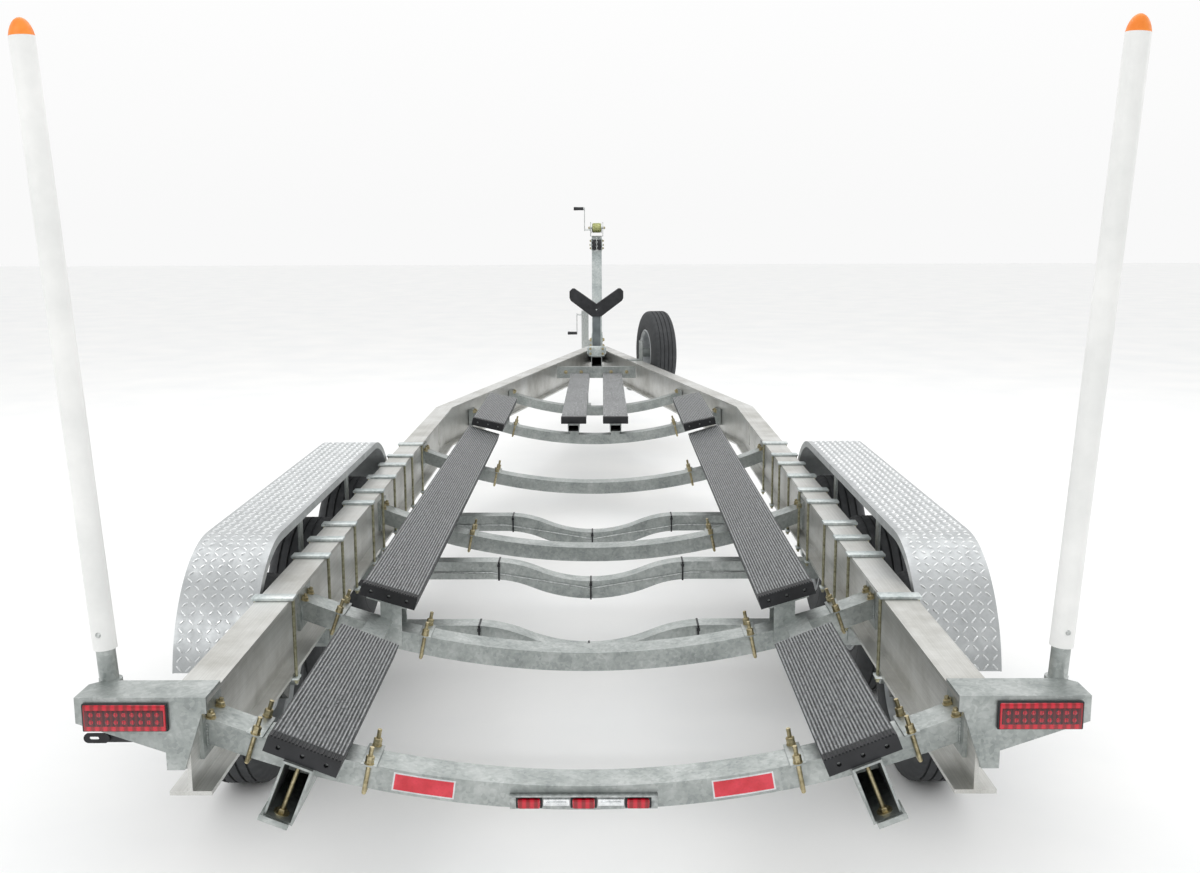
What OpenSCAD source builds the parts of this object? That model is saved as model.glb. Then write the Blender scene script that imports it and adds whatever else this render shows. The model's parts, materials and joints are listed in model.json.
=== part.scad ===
// Three-axle bunk trailer for a boat: bent I-beam frame, torsion axles, long fenders,
// bunks, bow rest, winch stand, tongue jack and spare wheel. Forward is +X, left is +Y,
// the ground is Z = 0 and the middle of the length is X = 0. All sizes in millimetres.

/* [Overall] */
// length from the rear of the tail lights to the coupler nose
overall_len = 11800; // [9800:10:14200]
// width across the fenders
overall_w = 2591; // [2150:1:3110]
// height of the top of the main beams above the ground
beam_top = 762; // [700:1:860]

/* [Main beams] */
// depth of the I-beams
beam_h = 250; // [200:1:300]
// width of the beam flanges
flange_w = 105; // [80:1:130]
// thickness of the beam flanges
flange_t = 11; // [8:0.5:16]
// thickness of the beam webs
web_t = 10; // [6:0.5:14]
// length of the parallel part of the beams, from the rear end to the bend
straight_len = 5085; // [4300:5:5600]

/* [Wheels and axles] */
// outside diameter of the tyres
tyre_d = 720; // [640:1:790]
// width of the tyres
tyre_w = 215; // [175:1:230]
// distance from one axle to the next
axle_gap = 862; // [800:1:1000]
// distance of the rear wheels from the rear end of the beams
rear_wheel_at = 1252; // [1150:1:1400]
// how far each axle tube lies ahead of its wheels
arm_len = 150; // [120:1:180]
// side of the square axle tubes
axle_tube = 76; // [60:1:90]
// how far the middle of each axle tube dips
axle_dip = 85; // [40:1:110]

/* [Crossmembers] */
// depth of the crossmember tubes, front to back
cross_d = 100; // [70:1:120]
// height of the crossmember tubes
cross_h = 64; // [50:1:76]
// how far the curved crossmembers sag between the beams
cross_sag = 190; // [120:1:230]

/* [Bunks] */
// width of the wide bunk planks
plank_w = 190; // [140:1:235]
// thickness of the bunk planks
plank_t = 42; // [30:1:50]
// sideways tilt of the rear bunks, in degrees
rear_tilt = 22; // [10:0.5:26]
// sideways tilt of the main bunks, in degrees
main_tilt = 17; // [8:0.5:22]
// sideways tilt of the bow bunks, in degrees
bow_tilt = 13; // [6:0.5:20]
// distance of the rear bunks from the centreline
bunk_y = 673; // [560:1:720]
// how much higher the bow bunks stand than the main ones
bow_step = 60; // [50:1:90]

/* [Fenders] */
// gap between the tyres and the underside of the fender tops
fender_gap = 160; // [90:1:200]
// thickness of the fender sheet
fender_t = 4; // [3:0.5:6]

/* [Tongue] */
// side of the square tongue tube
tongue_tube = 102; // [90:1:114]
// height of the middle of the tongue tube above the ground
tongue_z = 665; // [600:1:680]
// height of the bow stop roller above the ground
roller_z = 1740; // [1300:5:1900]
// length of the straight guide sleeves
guide_len = 1500; // [900:5:1700]

/* [Hidden] */
$fn = 64;

tail_over = 60;
x0 = -overall_len / 2 + tail_over;
nose_x = overall_len / 2;
half_w = overall_w / 2;
beam_y = half_w - 322;
beam_mid = beam_top - beam_h / 2;
beam_bot = beam_top - beam_h;
bend_x = x0 + straight_len;
meet_x = nose_x - 2440;
taper = atan((beam_y - flange_w / 2) / (meet_x - bend_x));
tyre_y = half_w - 16 - tyre_w / 2;
wheel_xs = [for (i = [0:2]) x0 + rear_wheel_at + i * axle_gap];
wheel_z = tyre_d / 2;
rim_r = 196;
disc_y = tyre_y - 62;
axle_top = beam_bot - 8;
axle_z = axle_top - axle_tube / 2;
spindle_r = 19;
main_z = 708;
rear_z = 654;
bow_z = main_z + bow_step;
main_y = bunk_y - 14;
bow_y = bunk_y - 45;
keel_z = 660;
cap_l = 34;
tongue_top = tongue_z + tongue_tube / 2;
tongue_rear = meet_x - 500;
tongue_front = nose_x - 235;
post_x = nose_x - 1640;
jack_x = nose_x - 1090;
jack_y = 132;
rest_x = tongue_rear + 55;
fender_top = tyre_d + fender_gap;
fender_rear = wheel_xs[0] - 20;
fender_front = wheel_xs[2] + 20;
fender_in = beam_y + flange_w / 2 + 16;
cm_x = [x0 + 150, x0 + 1170, x0 + 2700, x0 + 4080, bend_x + 0.122 * (meet_x - bend_x),
        bend_x + 0.347 * (meet_x - bend_x)];

plate_x = bend_x + 0.668 * (meet_x - bend_x);
rear_bunk = [x0 - 50, x0 + 820];
main_bunk = [x0 + 1110, x0 + 4500];
bow_bunk = [x0 + 4440, cm_x[4] + 20];
keel_bunk = [cm_x[4] - 270, plate_x - 6];
winch_x = post_x - 10;
winch_z = roller_z + 172;

// half the clear distance between the beam webs at a place along the trailer
function web_in(x) = x <= bend_x ? beam_y - web_t / 2
    : beam_y - (x - bend_x) * tan(taper) - web_t / (2 * cos(taper));
// sag, arc radius and height of crossmember i
function cm_half(i) = web_in(cm_x[i] + (i > 3 ? cross_d / 2 : 0));
function cm_sag(i) = i < 4 ? cross_sag : i == 4 ? cross_sag * 0.84 : cross_sag * 0.58;
function cm_r(i) = (pow(cm_half(i), 2) + pow(cm_sag(i), 2)) / (2 * cm_sag(i));
cm_low = [455, 455, 423, 445, 469, keel_z - plank_t - 50 - cm_rise(5, 178)];
function cm_rise(i, y) = cm_r(i) - sqrt(pow(cm_r(i) - cross_h / 2, 2) - y * y);
function cm_z(i, y) = cm_low[i] + cm_r(i) - sqrt(pow(cm_r(i), 2) - y * y);

// a flat outline pushed forward along X; the outline's own x and y become Y and Z
module along_x(len) {
    rotate([90, 0, 90]) linear_extrude(len) children();
}

module block(x, y, z) {
    translate([x[0], y[0], z[0]]) cube([x[1] - x[0], y[1] - y[0], z[1] - z[0]]);
}

module rod_y(x, z, y1, y2, r) {
    translate([x, y1, z]) rotate([-90, 0, 0]) cylinder(h = y2 - y1, r = r);
}

module rod_z(x, y, z1, z2, r) {
    translate([x, y, z1]) cylinder(h = z2 - z1, r = r);
}

// a round bar from point p to point q
module bar(p, q, r) {
    d = q - p;
    l = norm(d);
    translate(p) rotate([0, acos(d[2] / l), atan2(d[1], d[0])]) cylinder(h = l, r = r);
}

// plan of one bent strip of the left beam, w to each side of its centreline
module strip(w) {
    reach = (meet_x + 40 - bend_x) / cos(taper);
    far = [bend_x + reach * cos(taper), beam_y - reach * sin(taper)];
    t = w * tan(taper / 2);
    polygon([[x0, beam_y + w], [bend_x + t, beam_y + w],
             [far[0] + w * sin(taper), far[1] + w * cos(taper)],
             [far[0] - w * sin(taper), far[1] - w * cos(taper)],
             [bend_x - t, beam_y - w], [x0, beam_y - w]]);
}

// one bent main beam, drawn for the left side
module beam() {
    difference() {
        union() {
            for (z = [beam_bot, beam_top - flange_t]) translate([0, 0, z])
                linear_extrude(flange_t) strip(flange_w / 2);
            translate([0, 0, beam_bot + flange_t]) linear_extrude(beam_h - 2 * flange_t)
                strip(web_t / 2);
        }
        block([bend_x, nose_x], [-600, 0.5], [0, 1200]);
        block([meet_x + 20, nose_x], [-1, 500], [0, 1200]);
        block([tongue_rear - 10, nose_x], [-1, tongue_tube / 2],
              [tongue_z - tongue_tube / 2, tongue_top]);
        block([bend_x - 350, bend_x - 290], [beam_y - 20, beam_y + 20],
              [beam_mid - 70, beam_mid + 70]);
    }
}

module left_beam() {
    color("#c9cccd") beam();
}

module right_beam() {
    color("#c9cccd") mirror([0, 1, 0]) beam();
}

// the solid arc of crossmember i, grown by g all round
module curved_bar(i, g) {
    r = cm_r(i);
    t = asin((cm_half(i) + 50) / r);
    translate([cm_x[i], 0, cm_low[i] + r]) rotate([0, 90, 0]) rotate([0, 0, -t])
        rotate_extrude(angle = 2 * t) translate([r, 0])
            square([cross_h + 2 * g, cross_d + 2 * g], center = true);
}

// a curved box tube between the beam webs with a bolting plate at each end
module crossmember(i) {
    a = cm_half(i) - 10;
    skew = i < 4 ? 0 : taper;
    intersection() {
        difference() {
            curved_bar(i, 0);
            curved_bar(i, -5);
        }
        translate([cm_x[i], 0, cm_low[i]]) cube([cross_d + 2, 2 * a, 2 * cross_sag + 200], center = true);
    }
    for (s = [-1, 1]) {
        if (skew == 0) {
            translate([cm_x[i], s * (a + 5), cm_z(i, a)]) cube([cross_d + 60, 10, 130], center = true);
        } else {
            difference() {
                translate([cm_x[i], s * a, cm_z(i, a)]) translate([0, s * 14, 0])
                    cube([cross_d + 20, 30, 110], center = true);
                translate([cm_x[i] + cross_d / 2, s * (a + 10), cm_z(i, a)])
                    rotate([0, 0, -s * taper]) translate([-200, s < 0 ? -199.95 : -0.05, -100])
                        cube([400, 200, 200]);
            }
        }
    }
}

module rear_crossmember() {
    color("#8f9a9c") crossmember(0);
}

module crossmembers() {
    color("#8f9a9c") for (i = [1:5]) crossmember(i);
}

module tongue_crossmember() {
    half = web_in(plate_x + 40) - 0.5;
    color("#8f9a9c") difference() {
        union() {
            block([plate_x, plate_x + 6], [-half, half], [618, 716]);
            block([plate_x, plate_x + 40], [-half, half], [710, 716]);
        }
        for (y = [-0.5, 0.5]) translate([plate_x - 1, y * half, 640]) rotate([0, 90, 0])
            cylinder(h = 8, r = 7);
    }
}

module tongue_tube() {
    color("#a9b1b2") translate([tongue_rear, 0, tongue_z]) along_x(tongue_front - tongue_rear)
        difference() {
            square(tongue_tube, center = true);
            square(tongue_tube - 12, center = true);
        }
}

// sleeve coupler over the tongue tube with a ball socket in its nose
module coupler() {
    o = tongue_tube / 2;
    color("#7d8487") difference() {
        union() {
            block([tongue_front - 170, tongue_front + 40], [-o - 8, o + 8],
                  [tongue_z - o - 8, tongue_top + 8]);
            block([tongue_front + 30, nose_x - 55], [-42, 42], [tongue_z - 40, tongue_z + 34]);
            rod_z(nose_x - 55, 0, tongue_z - 40, tongue_z + 34, 55);
        }
        block([tongue_front - 180, tongue_front], [-o, o], [tongue_z - o, tongue_top]);
        rod_z(nose_x - 55, 0, tongue_z - 60, tongue_z - 12, 30);
        translate([nose_x - 55, 0, tongue_z - 12]) sphere(r = 30);
        rod_y(tongue_front + 90, tongue_z + 60, -60, 60, 5);
    }
    color("#7d8487") for (s = [-1, 1]) difference() {
        translate([tongue_front + 75, s * 26 - 4, tongue_z + 34]) cube([34, 8, 42]);
        rod_y(tongue_front + 92, tongue_z + 60, -60, 60, 5);
    }
}

module coupler_latch() {
    color("#9aa1a4") {
        rod_y(tongue_front + 92, tongue_z + 60, -34, 34, 4.7);
        difference() {
            block([tongue_front - 60, tongue_front + 106], [-14, 14], [tongue_z + 66, tongue_z + 74]);
            block([tongue_front - 200, tongue_front - 60], [-20, 20], [0, 1200]);
        }
        block([tongue_front + 84, tongue_front + 100], [-14, 14], [tongue_z + 52, tongue_z + 70]);
    }
}

// one bowed axle tube with a torsion arm and spindle at each end
module axle(wx) {
    tx = wx + arm_len;
    out = beam_y + flange_w / 2;
    run = 420;
    th = 2 * atan(axle_dip / run);
    rsum = run / sin(th);
    r1 = rsum * 0.57;
    r2 = rsum - r1;
    for (s = [-1, 1]) scale([1, s, 1]) {
        translate([tx, 0, axle_z - axle_dip + r1]) rotate([0, 90, 0]) rotate_extrude(angle = th)
            translate([r1, 0]) square(axle_tube, center = true);
        translate([tx, run, axle_z - r2]) rotate([0, 90, 0]) rotate([0, 0, 180])
            rotate_extrude(angle = th) translate([r2, 0]) square(axle_tube, center = true);
        block([tx - axle_tube / 2, tx + axle_tube / 2], [run, out - 10],
              [axle_top - axle_tube, axle_top]);
    }
}

module torsion_arm(wx, s) {
    out = beam_y + flange_w / 2;
    tx = wx + arm_len;
    dz = axle_z - wheel_z;
    a = atan2(dz, arm_len);
    l = sqrt(arm_len * arm_len + dz * dz);
    y1 = out - 10;
    y2 = out + 14;
    scale([1, s, 1]) {
        rod_y(tx, axle_z, y1, y2, 36);
        rod_y(wx, wheel_z, y1, y2, 32);
        translate([wx, y1 + 1, wheel_z]) rotate([0, -a, 0]) translate([0, 0, -26])
            cube([l, y2 - y1 - 2, 52]);
        rod_y(wx, wheel_z, y2 - 1, disc_y - 32, 30);
        rod_y(wx, wheel_z, disc_y - 33, tyre_y + 30, spindle_r);
    }
}

module axles() {
    color("#8b9698") for (wx = wheel_xs) {
        axle(wx);
        for (s = [-1, 1]) torsion_arm(wx, s);
    }
}

module axle_brackets() {
    color("#8f9a9c") for (wx = wheel_xs, s = [-1, 1]) scale([1, s, 1]) {
        tx = wx + arm_len;
        block([tx - 110, tx + 200], [beam_y - 50, beam_y + 40], [beam_bot - 8, beam_bot]);
        block([tx + axle_tube / 2, tx + axle_tube / 2 + 8], [beam_y - 50, beam_y + 40],
              [axle_top - 60, beam_bot - 8]);
        block([tx - axle_tube / 2 - 8, tx - axle_tube / 2], [beam_y - 50, beam_y + 40],
              [axle_top - 60, beam_bot - 8]);
    }
}

module brake_calipers() {
    color("#8c8f8e") for (wx = wheel_xs, s = [-1, 1]) scale([1, s, 1])
        translate([wx, disc_y, wheel_z]) rotate([0, 35, 0]) {
            difference() {
                translate([78, -32, -42]) cube([76, 56, 84]);
                translate([60, -13, -60]) cube([75, 26, 120]);
                rotate([-90, 0, 0]) translate([0, 0, -60]) cylinder(h = 120, r = 84);
            }
            difference() {
                union() {
                    translate([20, -32, -18]) cube([70, 8, 36]);
                    rod_y(0, 0, -32, -24, 44);
                }
                rod_y(0, 0, -40, 0, spindle_r + 0.2);
            }
        }
}

module brake_lines() {
    color("#b9bcbd") {
        for (wx = wheel_xs) {
            bx = wx + arm_len - axle_tube / 2 - 4.4;
            low = [bx, 0, axle_z - axle_dip + 6];
            for (s = [-1, 1]) {
                bar(low, [bx, s * 420, axle_z - 8], 4);
                rod_y(bx, axle_z - 8, s > 0 ? 418 : 90 - beam_y, s > 0 ? beam_y - 90 : -418, 4.2);
            }
            rod_y(bx, axle_z - axle_dip + 6, -9, 9, 4.3);
        }
    }
}

// side outline of a fender, grown outwards by g
module fender_outline(g) {
    xa = fender_rear;
    xb = fender_front;
    r = 420;
    low = fender_top - 350;
    intersection() {
        union() {
            for (x = [xa, xb]) translate([x, fender_top - r]) circle(r = r + g, $fn = 96);
            translate([xa, low]) square([xb - xa, fender_top + g - low]);
        }
        translate([xa - 600, low]) square([xb - xa + 1200, 600]);
    }
}

module fender() {
    w = half_w - fender_in;
    low = fender_top - 350;
    color("#d9dcdd") difference() {
        translate([0, half_w, 0]) rotate([90, 0, 0]) linear_extrude(w) fender_outline(fender_t);
        translate([0, half_w - fender_t, 0]) rotate([90, 0, 0]) linear_extrude(w - fender_t - 3)
            fender_outline(0);
        translate([0, fender_in + 5, 0]) rotate([90, 0, 0]) linear_extrude(10)
            fender_outline(-25);
        translate([0, half_w + 1, 0]) rotate([90, 0, 0]) linear_extrude(fender_t + 2)
            fender_outline(-75);
        block([x0 - 500, nose_x], [fender_in + 3, half_w - fender_t], [low - 1, low + 1]);
    }
}

module left_fender() {
    fender();
}

module right_fender() {
    mirror([0, 1, 0]) fender();
}

// posts and arms that hold the fenders out from the beams
module fender_brackets() {
    out = beam_y + flange_w / 2;
    gaps = [for (i = [0:1]) (wheel_xs[i] + wheel_xs[i + 1]) / 2];
    color("#9aa3a5") for (s = [-1, 1]) scale([1, s, 1]) {
        for (gx = gaps) {
            block([gx - 25, gx + 25], [beam_y + web_t / 2, out + 70], [beam_bot + 14, beam_bot + 22]);
            block([gx - 25, gx + 25], [out + 62, out + 70], [beam_bot + 14, fender_top]);
            block([gx - 25, gx + 25], [beam_y + web_t / 2, beam_y + web_t / 2 + 8],
                  [beam_bot + 14, beam_bot + 110]);
        }
        for (t = [-1, 1]) {
            e = t < 0 ? fender_rear - 368 : fender_front + 318;
            block([e, e + 50], [beam_y + web_t / 2, half_w - fender_t], [584, 592]);
            block([e, e + 50], [beam_y + web_t / 2, beam_y + web_t / 2 + 8], [584, 680]);
        }
    }
}

// one tilted plank, drawn for the left side; a is its tilt
module plank(x, y, z, w, a) {
    translate([x[0], y, z]) rotate([a, 0, 0]) translate([0, -w / 2, -plank_t])
        cube([x[1] - x[0], w, plank_t]);
}

module bunks() {
    color("#4a4d4f") for (s = [-1, 1]) scale([1, s, 1]) {
        plank([rear_bunk[0] + cap_l, rear_bunk[1]], bunk_y, rear_z, plank_w, rear_tilt);
        plank([main_bunk[0] + cap_l, main_bunk[1]], main_y, main_z, plank_w, main_tilt);
        plank([bow_bunk[0] + cap_l, bow_bunk[1]], bow_y, bow_z, plank_w, bow_tilt);
    }
}

module keel_bunks() {
    color("#77797a") for (s = [-1, 1]) scale([1, s, 1])
        plank([keel_bunk[0], keel_bunk[1]], 140, keel_z, 165, 0);
}

// moulded caps on the rear ends of the wide bunks, each with three screw holes
module bunk_end_caps() {
    color("#1d1e20") for (s = [-1, 1], k = [[rear_bunk[0], bunk_y, rear_z, rear_tilt],
                          [main_bunk[0], main_y, main_z, main_tilt],
                          [bow_bunk[0], bow_y, bow_z, bow_tilt]])
        scale([1, s, 1]) translate([k[0], k[1], k[2]]) rotate([k[3], 0, 0]) difference() {
            translate([0, -plank_w / 2, -plank_t]) cube([cap_l, plank_w, plank_t]);
            for (h = [-62, 0, 62]) translate([-1, h, -plank_t / 2]) rotate([0, 90, 0])
                cylinder(h = 16, r = 6);
        }
}

module bunk_stringers() {
    sx = [x0 - 60, cm_x[1] - cross_d / 2 - 5];
    color("#9aa5a7") {
        for (s = [-1, 1]) scale([1, s, 1]) {
            difference() {
                translate([sx[0], bunk_y, rear_z]) rotate([rear_tilt, 0, 0])
                    translate([0, 0, -plank_t - 76]) along_x(sx[1] - sx[0]) difference() {
                        square([76, 152], center = true);
                        square([64, 140], center = true);
                    }
                curved_bar(0, 0.2);
            }
            translate([keel_bunk[0] - 60, 140, keel_z - plank_t - 25])
                along_x(keel_bunk[1] - keel_bunk[0] + 20) difference() {
                    square([76, 50], center = true);
                    square([66, 40], center = true);
                }
        }
    }
}

// a bent plate that holds a plank above crossmember i
module plank_bracket(i, y, z, a) {
    x1 = cm_x[i] - cross_d / 2;
    color("#9aa5a7") {
        translate([x1 - 6, y, z]) rotate([a, 0, 0]) translate([0, -70, -plank_t - 6])
            cube([cross_d + 12, 140, 6]);
        for (e = [x1 - 5, x1 + cross_d]) difference() {
            translate([e, y - 35, cm_z(i, y) - 20]) cube([5, 70, z - cm_z(i, y)]);
            translate([e - 1, y, z]) rotate([a, 0, 0]) translate([0, -200, -plank_t - 3])
                cube([7, 400, 300]);
        }
    }
}

module bunk_brackets() {
    for (s = [-1, 1]) scale([1, s, 1]) {
        for (i = [1:3]) plank_bracket(i, main_y, main_z, main_tilt);
        plank_bracket(4, bow_y, bow_z, bow_tilt);
        color("#9aa5a7") {
            x1 = cm_x[4] - cross_d / 2;
            for (e = [x1 - 6, x1 + cross_d])
                block([e, e + 6], [110, 170], [cm_z(4, 140) - 24, keel_z - plank_t - 50]);
            block([x1 - 6, x1 + cross_d + 6], [110, 170],
                  [keel_z - plank_t - 56, keel_z - plank_t - 50]);
        }
    }
}

// plates at the rear ends of the beams that carry the lights and guide posts
module tail_brackets() {
    in = beam_y - flange_w / 2;
    out = beam_y + flange_w / 2;
    tip = half_w - 52;
    color("#a4acad") for (s = [-1, 1]) scale([1, s, 1]) difference() {
        union() {
            block([x0 - 2, x0 + 112], [in, tip], [beam_top, beam_top + 8]);
            block([x0 - 8, x0], [in, tip], [beam_top - 34, beam_top + 8]);
            translate([x0 - 8, 0, 0]) along_x(8)
                polygon([[in, beam_top], [tip, beam_top], [tip, beam_top - 58], [out, beam_top - 134],
                         [out, beam_bot + 70], [out - 44, beam_bot + 70]]);
            block([x0, x0 + 90], [beam_y + web_t / 2, beam_y + web_t / 2 + 8],
                  [beam_bot + 70, beam_top - flange_t]);
            one_guide() translate([0, 0, -guide_drop]) cylinder(h = guide_drop - 2, r = 32);
        }
        translate([x0 + 112, tip, beam_top + 20]) rotate([0, 0, 45])
            cube([40, 40, 80], center = true);
        one_guide() translate([0, 0, -guide_drop - 10]) cylinder(h = guide_drop + 30, r = 24.3);
    }
}

module tail_lights() {
    tip = half_w - 52;
    color("#8f1016") for (s = [-1, 1]) scale([1, s, 1]) {
        block([x0 - 44, x0 - 8.3], [tip - 230, tip - 20], [beam_top - 82, beam_top - 9]);
    }
}

module marker_bar() {
    x1 = cm_x[0] - cross_d / 2;
    z1 = cm_z(0, 0) - cross_h / 2;
    color("#c8ccce") block([x1 - 6, x1], [-190, 190], [z1 + 4, z1 + 46]);
    color("#8f1016") for (y = [-140, 0, 140]) block([x1 - 22, x1 - 6], [y - 30, y + 30],
                                                    [z1 + 12, z1 + 38]);
}

// slotted arm on the front face of the left gusset
module licence_bracket() {
    tip = half_w - 52;
    z = beam_top - 88;
    color("#1d1e20") translate([x0, 0, 0]) along_x(5) difference() {
        union() {
            translate([beam_y + flange_w / 2 + 6, z - 13]) square([tip - 35 - beam_y - flange_w / 2, 26]);
            translate([tip - 29, z]) circle(r = 13);
        }
        for (e = [0, 22]) translate([tip - 30 - e, z]) circle(r = 4.5);
        translate([tip - 52, z - 4.5]) square([22, 9]);
    }
}

guide_lean = 3.6;
guide_drop = 92;
module one_guide() {
    translate([x0 + 130, half_w - 86, beam_top + 8]) rotate([-guide_lean, 0, 0]) children();
}

module guide_axis() {
    for (s = [-1, 1]) scale([1, s, 1]) one_guide() children();
}

module guide_pipes() {
    color("#a9b1b2") guide_axis() difference() {
        translate([0, 0, -guide_drop]) cylinder(h = guide_len - 100 + guide_drop, r = 24);
        translate([0, 0, -guide_drop - 1]) cylinder(h = guide_len + guide_drop, r = 20);
    }
}

module guide_sleeves() {
    color("#f1f2f2") guide_axis() difference() {
        translate([0, 0, 80]) cylinder(h = guide_len, r = 30);
        translate([0, 0, 79]) cylinder(h = guide_len + 5, r = 24.3);
    }
}

module guide_caps() {
    color("#f08a1c") guide_axis() translate([0, 0, 80 + guide_len]) {
        rotate_extrude() intersection() {
            translate([0, -16]) scale([1, 1.9]) circle(r = 31);
            square([31, 60]);
        }
        translate([0, 0, -30]) cylinder(h = 30.5, r = 24);
    }
}

module winch_post() {
    o = tongue_tube / 2;
    top = roller_z + 86;
    color("#b3babb") {
        difference() {
            block([post_x - 38, post_x + 38], [-o, o], [tongue_top, top]);
            block([post_x - 32, post_x + 40], [6 - o, o - 6], [tongue_top + 8, top - 6]);
        }
        for (s = [-1, 1]) scale([1, s, 1])
            difference() {
                block([post_x - 110, post_x + 110], [o, o + 6], [tongue_z - 45, tongue_top + 110]);
                for (t = [-1, 1]) translate([post_x + t * 110, o - 1, tongue_top + 110])
                    rotate([0, t * 33, 0]) translate([-60, 0, -10]) cube([120, 8, 200]);
            }
    }
}

module winch_frame() {
    top = roller_z + 86;
    color("#a9b1b2") {
        block([winch_x - 75, winch_x + 75], [-66, 66], [top, top + 6]);
        for (s = [-1, 1]) scale([1, s, 1]) difference() {
            union() {
                block([winch_x - 60, winch_x + 60], [60, 66], [top, winch_z]);
                rod_y(winch_x, winch_z, 60, 66, 60);
            }
            rod_y(winch_x, winch_z, 50, 80, 10.3);
            rod_y(winch_x - 42, winch_z - 18, 50, 80, 8.3);
        }
    }
}

// ears on the rear face of the post that carry the bow stop roller
module roller_bracket() {
    rx = post_x - 96;
    color("#b3babb") for (s = [-1, 1]) scale([1, s, 1]) difference() {
        block([rx - 30, post_x + 38], [51, 57], [roller_z - 55, roller_z + 60]);
        rod_y(rx, roller_z, 40, 60, 8);
    }
    color("#b9bcbd") rod_y(rx, roller_z, -66, 66, 8);
}

module bow_roller() {
    color("#1b1c1e") difference() {
        rod_y(post_x - 96, roller_z, -44, 44, 52);
        rod_y(post_x - 96, roller_z, -60, 60, 8.3);
    }
}

module winch_drum() {
    color("#c9c47a") {
        rod_y(winch_x, winch_z, -72, 72, 10);
        rod_y(winch_x, winch_z, -50, 50, 32);
        for (s = [-1, 1]) rod_y(winch_x, winch_z, s * 50 - 2.5, s * 50 + 2.5, 54);
    }
}

module winch_crank() {
    cx = winch_x - 42;
    cz = winch_z - 18;
    color("#b9bcbd") {
        rod_y(cx, cz, 58, 128, 8);
        block([cx - 10, cx + 10], [120, 128], [cz - 14, cz + 225]);
    }
    color("#1b1c1e") rod_y(cx, cz + 212, 127.5, 235, 15);
}

module bow_rest_post() {
    o = tongue_tube / 2;
    color("#6f7678") {
        difference() {
            block([rest_x - 38, rest_x + 38], [-38, 38], [tongue_top, 1090]);
            block([rest_x - 33, rest_x + 33], [-33, 33], [tongue_top + 6, 1091]);
        }
        difference() {
            block([rest_x - 46, rest_x - 38], [-72, 72], [tongue_top, tongue_top + 96]);
            for (y = [-58, 58], z = [24, 72]) translate([rest_x - 50, y, tongue_top + z])
                rotate([0, 90, 0]) cylinder(h = 20, r = 6);
        }
        block([rest_x - 46, rest_x + 46], [-o, o], [tongue_top, tongue_top + 6]);
    }
}

// black V-shaped pad that cradles the bow
module bow_rest_pad() {
    color("#222325") {
        translate([rest_x - 50, 0, 1090]) rotate([90, 0, 90]) linear_extrude(100) difference() {
            polygon([[44, 0], [240, 148], [252, 174], [252, 234], [226, 260], [205, 260],
                     [0, 116], [-205, 260], [-226, 260], [-252, 234], [-252, 174], [-240, 148],
                     [-44, 0]]);
            translate([0, 62]) circle(r = 9);
        }
    }
}

module jack_housing() {
    o = tongue_tube / 2;
    color("#c3c8ca") {
        difference() {
            block([jack_x - 38, jack_x + 38], [jack_y - 38, jack_y + 38], [430, 1030]);
            block([jack_x - 33, jack_x + 33], [jack_y - 33, jack_y + 33], [429, 1024]);
            rod_y(jack_x, 985, jack_y, jack_y + 60, 9.3);
        }
        block([jack_x - 70, jack_x + 70], [o, o + 8], [tongue_z - 60, tongue_z + 60]);
        block([jack_x - 30, jack_x + 30], [o + 8, jack_y - 38], [tongue_z - 45, tongue_z + 45]);
    }
}

module jack_leg() {
    color("#a9b1b2") {
        difference() {
            block([jack_x - 32.5, jack_x + 32.5], [jack_y - 32.5, jack_y + 32.5], [8, 560]);
            block([jack_x - 27, jack_x + 27], [jack_y - 27, jack_y + 27], [20, 561]);
        }
        block([jack_x - 80, jack_x + 80], [jack_y - 60, jack_y + 60], [0, 8]);
    }
}

module jack_crank() {
    color("#b9bcbd") {
        rod_y(jack_x, 985, jack_y + 10, jack_y + 92, 9);
        block([jack_x - 9, jack_x + 9], [jack_y + 84, jack_y + 92], [770, 998]);
    }
    color("#1b1c1e") rod_y(jack_x, 785, jack_y + 91.5, jack_y + 190, 15);
}

// a tyre about the origin with its axis along Y
module tyre() {
    w = tyre_w / 2;
    r = tyre_d / 2;
    rotate([90, 0, 0]) rotate_extrude() polygon([
        [rim_r - 6, -w + 26], [rim_r + 8, -w + 12], [r - 118, -w + 1], [r - 92, -w], [r - 62, -w + 3],
        [r - 30, -w + 13], [r - 12, -w + 24], [r - 3, -w + 38], [r, -w + 62], [r, w - 62],
        [r - 3, w - 38], [r - 12, w - 24], [r - 30, w - 13], [r - 62, w - 3], [r - 92, w],
        [r - 118, w - 1], [rim_r + 8, w - 12], [rim_r - 6, w - 26]]);
}

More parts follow.
